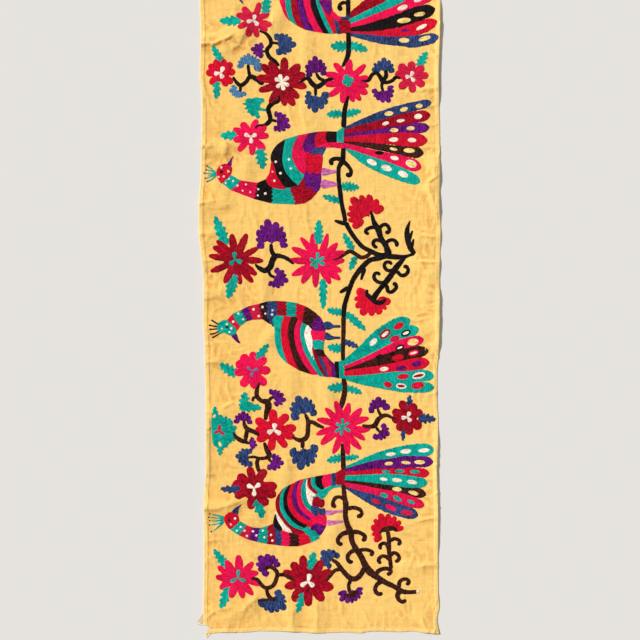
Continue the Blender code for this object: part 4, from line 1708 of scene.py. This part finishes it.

# %% [markdown]
# ## Shared effects as node groups
# Each effect is a node group, so that one recipe serves every material that needs it. `silk_rows` serves
# the thirteen thread colours. It draws couched threads from the UV map: rows of thread, stitches along
# each row, a tone for each stitch and longer streaks of dye. Each row's stitches begin a little later than
# its neighbour's, which gives couching its faint slanting lines. The rows' rounded height is also painted
# into the colour: shade in the grooves between rows and at the stitch ends, lighter crowns. Dark threads
# get a stronger spread of tone, a painted sheen that stands in for their glints, so that is an input.
# `plain_weave` draws yarns that go over and under each other, thick and thin places in the yarn, and the
# slow unevenness of a hand-dyed cloth. The yarns' crowns come out lighter in its tone, a painted highlight.

# %% A short way to wire nodes
class Wires:
    """Adds nodes to a tree and joins them, so that a formula reads as one line a step."""

    def __init__(self, tree):
        self.tree = tree

    def node(self, kind, **settings):
        made = self.tree.nodes.new(kind)
        for name, value in settings.items():
            setattr(made, name, value)
        return made

    def put(self, socket, value):
        if isinstance(value, bpy.types.NodeSocket):
            self.tree.links.new(value, socket)
        else:
            socket.default_value = value

    def math(self, operation, first, second=0.0, third=0.0):
        made = self.node("ShaderNodeMath", operation=operation)
        for socket, value in zip(made.inputs, (first, second, third)):
            self.put(socket, value)
        return made.outputs[0]

    def times(self, first, second):
        return self.math("MULTIPLY", first, second)

    def plus(self, first, second):
        return self.math("ADD", first, second)

    def scaled_plus(self, value, scale, rest):
        """value times scale, plus the rest."""
        return self.math("MULTIPLY_ADD", value, scale, rest)

    def vector(self, x, y, z=0.0):
        made = self.node("ShaderNodeCombineXYZ")
        for socket, value in zip(made.inputs, (x, y, z)):
            self.put(socket, value)
        return made.outputs[0]

    def stretched(self, x, y, by_x, by_y):
        """A place for a cloud, drawn out or pressed together in each direction."""
        return self.vector(self.times(x, by_x), self.times(y, by_y))

    def summed(self, start, *parts):
        """A start with shares of several values added to it."""
        for value, share in parts:
            start = self.scaled_plus(value, share, start)
        return start

    def scatter(self, place):
        """A random value from 0 to 1 for each place."""
        made = self.node("ShaderNodeTexWhiteNoise", noise_dimensions="3D")
        self.put(made.inputs["Vector"], place)
        return made.outputs["Value"]

    def cloud(self, place, scale, detail=2.0):
        made = self.node("ShaderNodeTexNoise", noise_dimensions="3D")
        self.put(made.inputs["Vector"], place)
        made.inputs["Scale"].default_value = scale
        made.inputs["Detail"].default_value = detail
        return made.outputs["Fac"]

    def tint(self, colour, value):
        """A colour made lighter or darker by a value."""
        made = self.node("ShaderNodeVectorMath", operation="SCALE")
        self.put(made.inputs[0], colour)
        self.put(made.inputs["Scale"], value)
        return made.outputs[0]

    def warm_tint(self, colour, value):
        """The same, but what gets darker also gets warmer, as light does between the threads of a fold."""
        red, blue = self.math("POWER", value, 0.7), self.math("POWER", value, 1.45)
        made = self.node("ShaderNodeVectorMath", operation="MULTIPLY")
        self.put(made.inputs[0], colour)
        self.put(made.inputs[1], self.vector(red, value, blue))
        return made.outputs[0]

    def bump(self, height, strength, depth, normal=None):
        """A normal that makes a height from 0 to 1 look depth millimetres deep."""
        made = self.node("ShaderNodeBump")
        self.put(made.inputs["Strength"], strength)
        self.put(made.inputs["Distance"], depth * MM)
        self.put(made.inputs["Height"], height)
        if normal is not None:
            self.put(made.inputs["Normal"], normal)
        return made.outputs[0]

    def mix(self, share, first, second):
        made = self.node("ShaderNodeMix", data_type="RGBA")
        self.put(made.inputs[0], share)
        self.put(made.inputs[6], first)
        self.put(made.inputs[7], second)
        return made.outputs[2]


def group(name, inputs, outputs):
    """An empty node group with its sockets, and the wires to fill it."""
    tree = bpy.data.node_groups.new(name, "ShaderNodeTree")
    for socket, kind, value in inputs:
        made = tree.interface.new_socket(socket, in_out="INPUT", socket_type="NodeSocket" + kind)
        if value is not None:
            made.default_value = value
    for socket, kind in outputs:
        tree.interface.new_socket(socket, in_out="OUTPUT", socket_type="NodeSocket" + kind)
    wires = Wires(tree)
    return tree, wires, wires.node("NodeGroupInput"), wires.node("NodeGroupOutput")


# %% Rows of couched silk
def make_silk_rows():
    tree, w, given, result = group(
        "silk_rows",
        [("Place", "Vector", None), ("Spot", "Vector", None), ("Colour", "Color", (1, 1, 1, 1)),
         ("Row width", "Float", 1.05), ("Stitch length", "Float", 5.2), ("Tone and sheen contrast", "Float", 1.0)],
        [("Colour", "Color"), ("Roughness", "Float"), ("Height", "Float")],
    )
    parts = w.node("ShaderNodeSeparateXYZ")
    w.put(parts.inputs[0], given.outputs["Place"])
    u, v = parts.outputs[0], parts.outputs[1]
    sway = w.cloud(w.stretched(u, v, 0.09, 0.2), 1.0)
    v = w.scaled_plus(sway, 1.4, v)
    row_place = w.math("DIVIDE", v, given.outputs["Row width"])
    row, in_row = w.math("FLOOR", row_place), w.math("FRACT", row_place)
    slip = w.times(w.scatter(w.vector(row, 3.0)), 0.4)
    slip = w.scaled_plus(row, 0.27, slip)
    stitch_place = w.math("DIVIDE", u, given.outputs["Stitch length"])
    stitch_place = w.plus(stitch_place, slip)
    stitch, in_stitch = w.math("FLOOR", stitch_place), w.math("FRACT", stitch_place)
    tone = w.scatter(w.vector(row, stitch, 1.0))
    skein = w.scatter(w.vector(w.math("FLOOR", w.math("DIVIDE", u, 1000.0)), 5.0))
    round_row = w.math("POWER", w.math("SINE", w.times(in_row, math.pi)), 0.6)
    end = w.times(w.math("SINE", w.times(in_stitch, math.pi)), 3.0)
    end = w.math("MINIMUM", end, 1.0)
    height = w.times(round_row, w.scaled_plus(end, 0.5, 0.5))
    streak = w.cloud(w.stretched(u, v, 0.06, 0.26), 1.0, 4.0)
    fade = w.cloud(given.outputs["Spot"], 30.0, 4.0)
    # painted shade: the rows' height darkens the grooves between rows and the stitch ends, and lightens the
    # crowns
    light = w.summed(-1.4, (tone, 0.8), (height, 0.45), (streak, 0.9), (fade, 0.5))
    # the thread's contrast widens this spread; for dark threads it is a painted sheen standing in for
    # glints
    light = w.times(light, given.outputs["Tone and sheen contrast"])
    light = w.plus(light, w.scaled_plus(skein, 0.2, 0.845))
    light = w.math("MAXIMUM", light, 0.2)
    w.put(result.inputs["Colour"], w.tint(given.outputs["Colour"], light))
    w.put(result.inputs["Roughness"], w.scaled_plus(tone, 0.16, 0.5))
    w.put(result.inputs["Height"], height)
    return tree


silk_rows = make_silk_rows()
print("node group:", silk_rows.name, len(silk_rows.nodes), "nodes")

# %% A plain weave
def ridged(w, place):
    """Thin ridges along the lines where a cloud crosses its middle value."""
    away = w.math("ABSOLUTE", w.math("SUBTRACT", w.cloud(place, 1.0, 3.0), 0.5))
    ridge = w.math("MAXIMUM", w.scaled_plus(away, -7.0, 1.0), 0.0)
    return w.math("POWER", ridge, 1.5)


def make_plain_weave():
    tree, w, given, result = group(
        "plain_weave",
        [("Spot", "Vector", None), ("Pitch", "Float", 0.62)],
        [("Height", "Float"), ("Tone", "Float"), ("Crumple", "Float")],
    )
    parts = w.node("ShaderNodeSeparateXYZ")
    w.put(parts.inputs[0], given.outputs["Spot"])
    x = w.times(parts.outputs[0], 1000.0)
    y = w.times(parts.outputs[1], 1000.0)
    sway = w.cloud(w.stretched(x, y, 0.06, 0.06), 1.0)
    x_place = w.math("DIVIDE", w.scaled_plus(sway, 2.5, x), given.outputs["Pitch"])
    y_place = w.math("DIVIDE", w.scaled_plus(sway, 2.0, y), given.outputs["Pitch"])
    over = w.plus(w.math("FLOOR", x_place), w.math("FLOOR", y_place))
    over = w.math("FLOORED_MODULO", over, 2.0)
    warp = w.math("ABSOLUTE", w.math("SINE", w.times(x_place, math.pi)))
    weft = w.math("ABSOLUTE", w.math("SINE", w.times(y_place, math.pi)))
    under = w.math("SUBTRACT", 1.0, over)
    height = w.plus(w.times(warp, over), w.times(weft, under))
    yarn_up = w.scatter(w.vector(w.math("FLOOR", x_place), 1.0))
    yarn_across = w.scatter(w.vector(w.math("FLOOR", y_place), 2.0))
    slub_across = w.cloud(w.stretched(x, y, 0.018, 0.75), 1.0)
    slub_up = w.cloud(w.stretched(x, y, 0.6, 0.012), 1.0)
    dye = w.cloud(given.outputs["Spot"], 8.0, 5.0)
    fleck = w.cloud(w.vector(x, y), 0.45, 2.0)
    fleck = w.math("MAXIMUM", w.math("SUBTRACT", fleck, 0.64), 0.0)
    wear = w.cloud(given.outputs["Spot"], 120.0, 4.0)
    # painted highlight: the weave's height lightens the yarns' crowns; the rest is the yarns' own tone,
    # slubs, dye, wear and flecks
    tone = w.summed(
        0.652, (yarn_up, 0.07), (yarn_across, 0.07), (height, 0.08), (slub_across, 0.12),
        (slub_up, 0.1), (dye, 0.16), (wear, 0.14), (fleck, -1.6),
    )
    fold_up = ridged(w, w.stretched(x, y, 0.06, 0.016))
    fold_across = ridged(w, w.stretched(x, y, 0.015, 0.065))
    broad = w.cloud(given.outputs["Spot"], 50.0, 3.0)
    small = w.cloud(given.outputs["Spot"], 230.0, 3.0)
    crumple = w.summed(0.0, (fold_up, 0.2), (fold_across, 0.24), (broad, 0.62), (small, 0.12))
    w.put(result.inputs["Height"], height)
    w.put(result.inputs["Tone"], tone)
    w.put(result.inputs["Crumple"], crumple)
    return tree


plain_weave = make_plain_weave()
print("node group:", plain_weave.name, len(plain_weave.nodes), "nodes")

# %% [markdown]
# ## Materials
# The shader itself stays in each material. Silk has a soft gloss from its long smooth fibres, and cotton
# is matte with a faint sheen from its fuzz. Each colour was set near the mean of a few spots of the
# photograph and then adjusted until the render agreed. It is given as a screen shows it, from 0 to 255, and
# turned into the linear values that a shader works with.

# %% Thread colours
def linear(*seen):
    """A colour as a screen shows it, 0 to 255, as the linear values of a shader."""
    shares = [value / 255 for value in seen]
    return [share / 12.92 if share <= 0.04045 else ((share + 0.055) / 1.055) ** 2.4
            for share in shares] + [1.0]


# uneven sets each thread's contrast; the high values of the dark threads are a painted sheen in place of
# their glints
THREADS = rows("name red green blue uneven", """
teal 4 168 152 1.0
pink 240 18 80 0.8
rose 212 28 68 0.9
red 218 14 48 0.9
dark_red 164 8 34 1.5
purple 98 18 114 2.2
navy 46 66 114 2.1
blue 76 124 168 1.2
black 24 17 18 3.6
brown 58 26 20 3.2
cream 255 240 222 0.8
lilac 206 110 176 1.2
yellow 255 222 140 0.8
""")


COTTON_YELLOW = linear(255, 211, 120)
COTTON_DEEP = linear(252, 201, 108)
# the warm brown of painted shade in folds and hollows
PAINTED_SHADE_BROWN = linear(226, 148, 58)
HEM_YELLOW = linear(255, 220, 142)


def new_material(name):
    """A material, the wires to fill it and its shader."""
    material = bpy.data.materials.new(name)
    material.use_nodes = True
    return material, Wires(material.node_tree), material.node_tree.nodes["Principled BSDF"]


def silk_material(thread):
    material, w, shader = new_material("silk_" + thread.name)
    rows_of_silk = w.node("ShaderNodeGroup", node_tree=silk_rows)
    along = w.node("ShaderNodeUVMap", uv_map="stitch")
    spot = w.node("ShaderNodeTexCoord")
    w.put(rows_of_silk.inputs["Place"], along.outputs[0])
    w.put(rows_of_silk.inputs["Spot"], spot.outputs["Object"])
    rows_of_silk.inputs["Colour"].default_value = linear(thread.red, thread.green, thread.blue)
    rows_of_silk.inputs["Tone and sheen contrast"].default_value = thread.uneven
    w.put(shader.inputs["Base Color"], rows_of_silk.outputs["Colour"])
    w.put(shader.inputs["Roughness"], rows_of_silk.outputs["Roughness"])
    w.put(shader.inputs["Normal"], w.bump(rows_of_silk.outputs["Height"], 0.7, 0.35))
    shader.inputs["Specular IOR Level"].default_value = 0.07
    return material


def cotton_material():
    material, w, shader = new_material("yellow_cotton_cloth")
    spot = w.node("ShaderNodeTexCoord").outputs["Object"]
    weave = w.node("ShaderNodeGroup", node_tree=plain_weave)
    w.put(weave.inputs["Spot"], spot)
    crease = w.node("ShaderNodeAttribute", attribute_name="crease").outputs["Fac"]
    parts = w.node("ShaderNodeSeparateXYZ")
    w.put(parts.inputs[0], spot)
    # the cloth's yellow is deeper towards the left edge and the lower end
    paler_share = w.scaled_plus(parts.outputs[0], 1.1, 0.72)
    paler_share = w.scaled_plus(parts.outputs[1], 0.2, paler_share)
    paler_share = w.scaled_plus(w.cloud(spot, 5.0, 3.0), 0.5, w.math("SUBTRACT", paler_share, 0.25))
    paler_share = w.math("MINIMUM", w.math("MAXIMUM", paler_share, 0.0), 1.0)
    colour = w.mix(paler_share, COTTON_DEEP, COTTON_YELLOW)
    # painted shade: the cloth is browned along the creases' unlit sides, in hollows and in the crumple's
    # valleys, as light warms between the walls of a fold; the hem's seam line darkens with them
    hollow = w.math("MAXIMUM", w.scaled_plus(weave.outputs["Crumple"], -0.8, 0.36), 0.0)
    painted_fold_shade = w.scaled_plus(crease, 0.26, hollow)
    colour = w.mix(w.math("MINIMUM", painted_fold_shade, 0.8), colour, PAINTED_SHADE_BROWN)
    turned = w.node("ShaderNodeAttribute", attribute_name="hem").outputs["Fac"]
    colour = w.mix(w.times(turned, 0.5), colour, HEM_YELLOW)
    w.put(shader.inputs["Base Color"], w.warm_tint(colour, weave.outputs["Tone"]))
    w.put(shader.inputs["Roughness"], w.scaled_plus(weave.outputs["Height"], -0.1, 0.95))
    crumple = w.bump(weave.outputs["Crumple"], 0.85, 1.6)
    w.put(shader.inputs["Normal"], w.bump(weave.outputs["Height"], 0.5, 0.25, crumple))
    shader.inputs["Specular IOR Level"].default_value = 0.2
    shader.inputs["Sheen Weight"].default_value = 0.05
    shader.inputs["Sheen Roughness"].default_value = 0.6
    return material


cotton = cotton_material()
cotton_sheet.data.materials.append(cotton)
frayed_threads.data.materials.append(cotton)

# %% Turn each thread colour into one piece
for thread in THREADS:
    bm, _ = silk[thread.name]
    bmesh.ops.triangulate(bm, faces=bm.faces)
    piece = add_object("silk_" + thread.name, bm)
    piece.data.materials.append(silk_material(thread))
    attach(piece, "root")
    print(piece.name, len(piece.data.polygons), "triangles")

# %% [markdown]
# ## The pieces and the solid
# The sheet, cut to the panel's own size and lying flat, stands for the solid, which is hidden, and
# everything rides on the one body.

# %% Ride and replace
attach(cotton_sheet, "root")
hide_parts("panel")
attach(frayed_threads, "root")

# %% [markdown]
# ## Floor, light and camera
# A plain pale floor and soft studio light: one large key from the upper left, low enough to draw the
# creases, and an even fill. The camera looks straight down, with the framing of the photograph.

# %% Floor
def make_floor():
    bm = bmesh.new()
    bmesh.ops.create_grid(bm, x_segments=1, y_segments=1, size=6.0)
    material, _, shader = new_material("pale_floor")
    shader.inputs["Base Color"].default_value = (0.76, 0.76, 0.75, 1.0)
    shader.inputs["Roughness"].default_value = 0.9
    shader.inputs["Specular IOR Level"].default_value = 0.1
    floor = add_object("floor", bm)
    floor.data.materials.append(material)
    return floor


make_floor()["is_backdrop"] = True

# %% Light
key = bpy.data.lights.new("key", "SUN")
key.energy = 3.7
key.angle = 0.1
key.color = (1.0, 0.985, 0.97)
key_object = bpy.data.objects.new("key", key)
key_object.rotation_euler = LIGHT_RUNS.to_track_quat("-Z", "Y").to_euler()
bpy.context.scene.collection.objects.link(key_object)

world = bpy.data.worlds.new("studio")
world.use_nodes = True
world.node_tree.nodes["Background"].inputs["Color"].default_value = (1.0, 0.945, 0.87, 1.0)
world.node_tree.nodes["Background"].inputs["Strength"].default_value = 0.33
bpy.context.scene.world = world
bpy.context.scene.view_settings.view_transform = "Standard"

# %% Camera
VIEW_SIDE = 1.354  # metres across the photograph's frame, on the cloth
VIEW_CENTRE = (0.0004, -0.1364)
CAMERA_HEIGHT = 3.0
camera = bpy.data.cameras.new("camera")
camera.lens = 36.0 * CAMERA_HEIGHT / VIEW_SIDE
camera_object = bpy.data.objects.new("camera", camera)
camera_object.location = (*VIEW_CENTRE, CAMERA_HEIGHT)
bpy.context.scene.collection.objects.link(camera_object)
bpy.context.scene.camera = camera_object

# %% Measure the dressed model
visual_box = [list(corner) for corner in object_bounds()]
for name, box in (("solid", cad_box), ("dressed", visual_box)):
    print(name, "mm:", [round((high - low) / MM, 1) for low, high in zip(*box)])
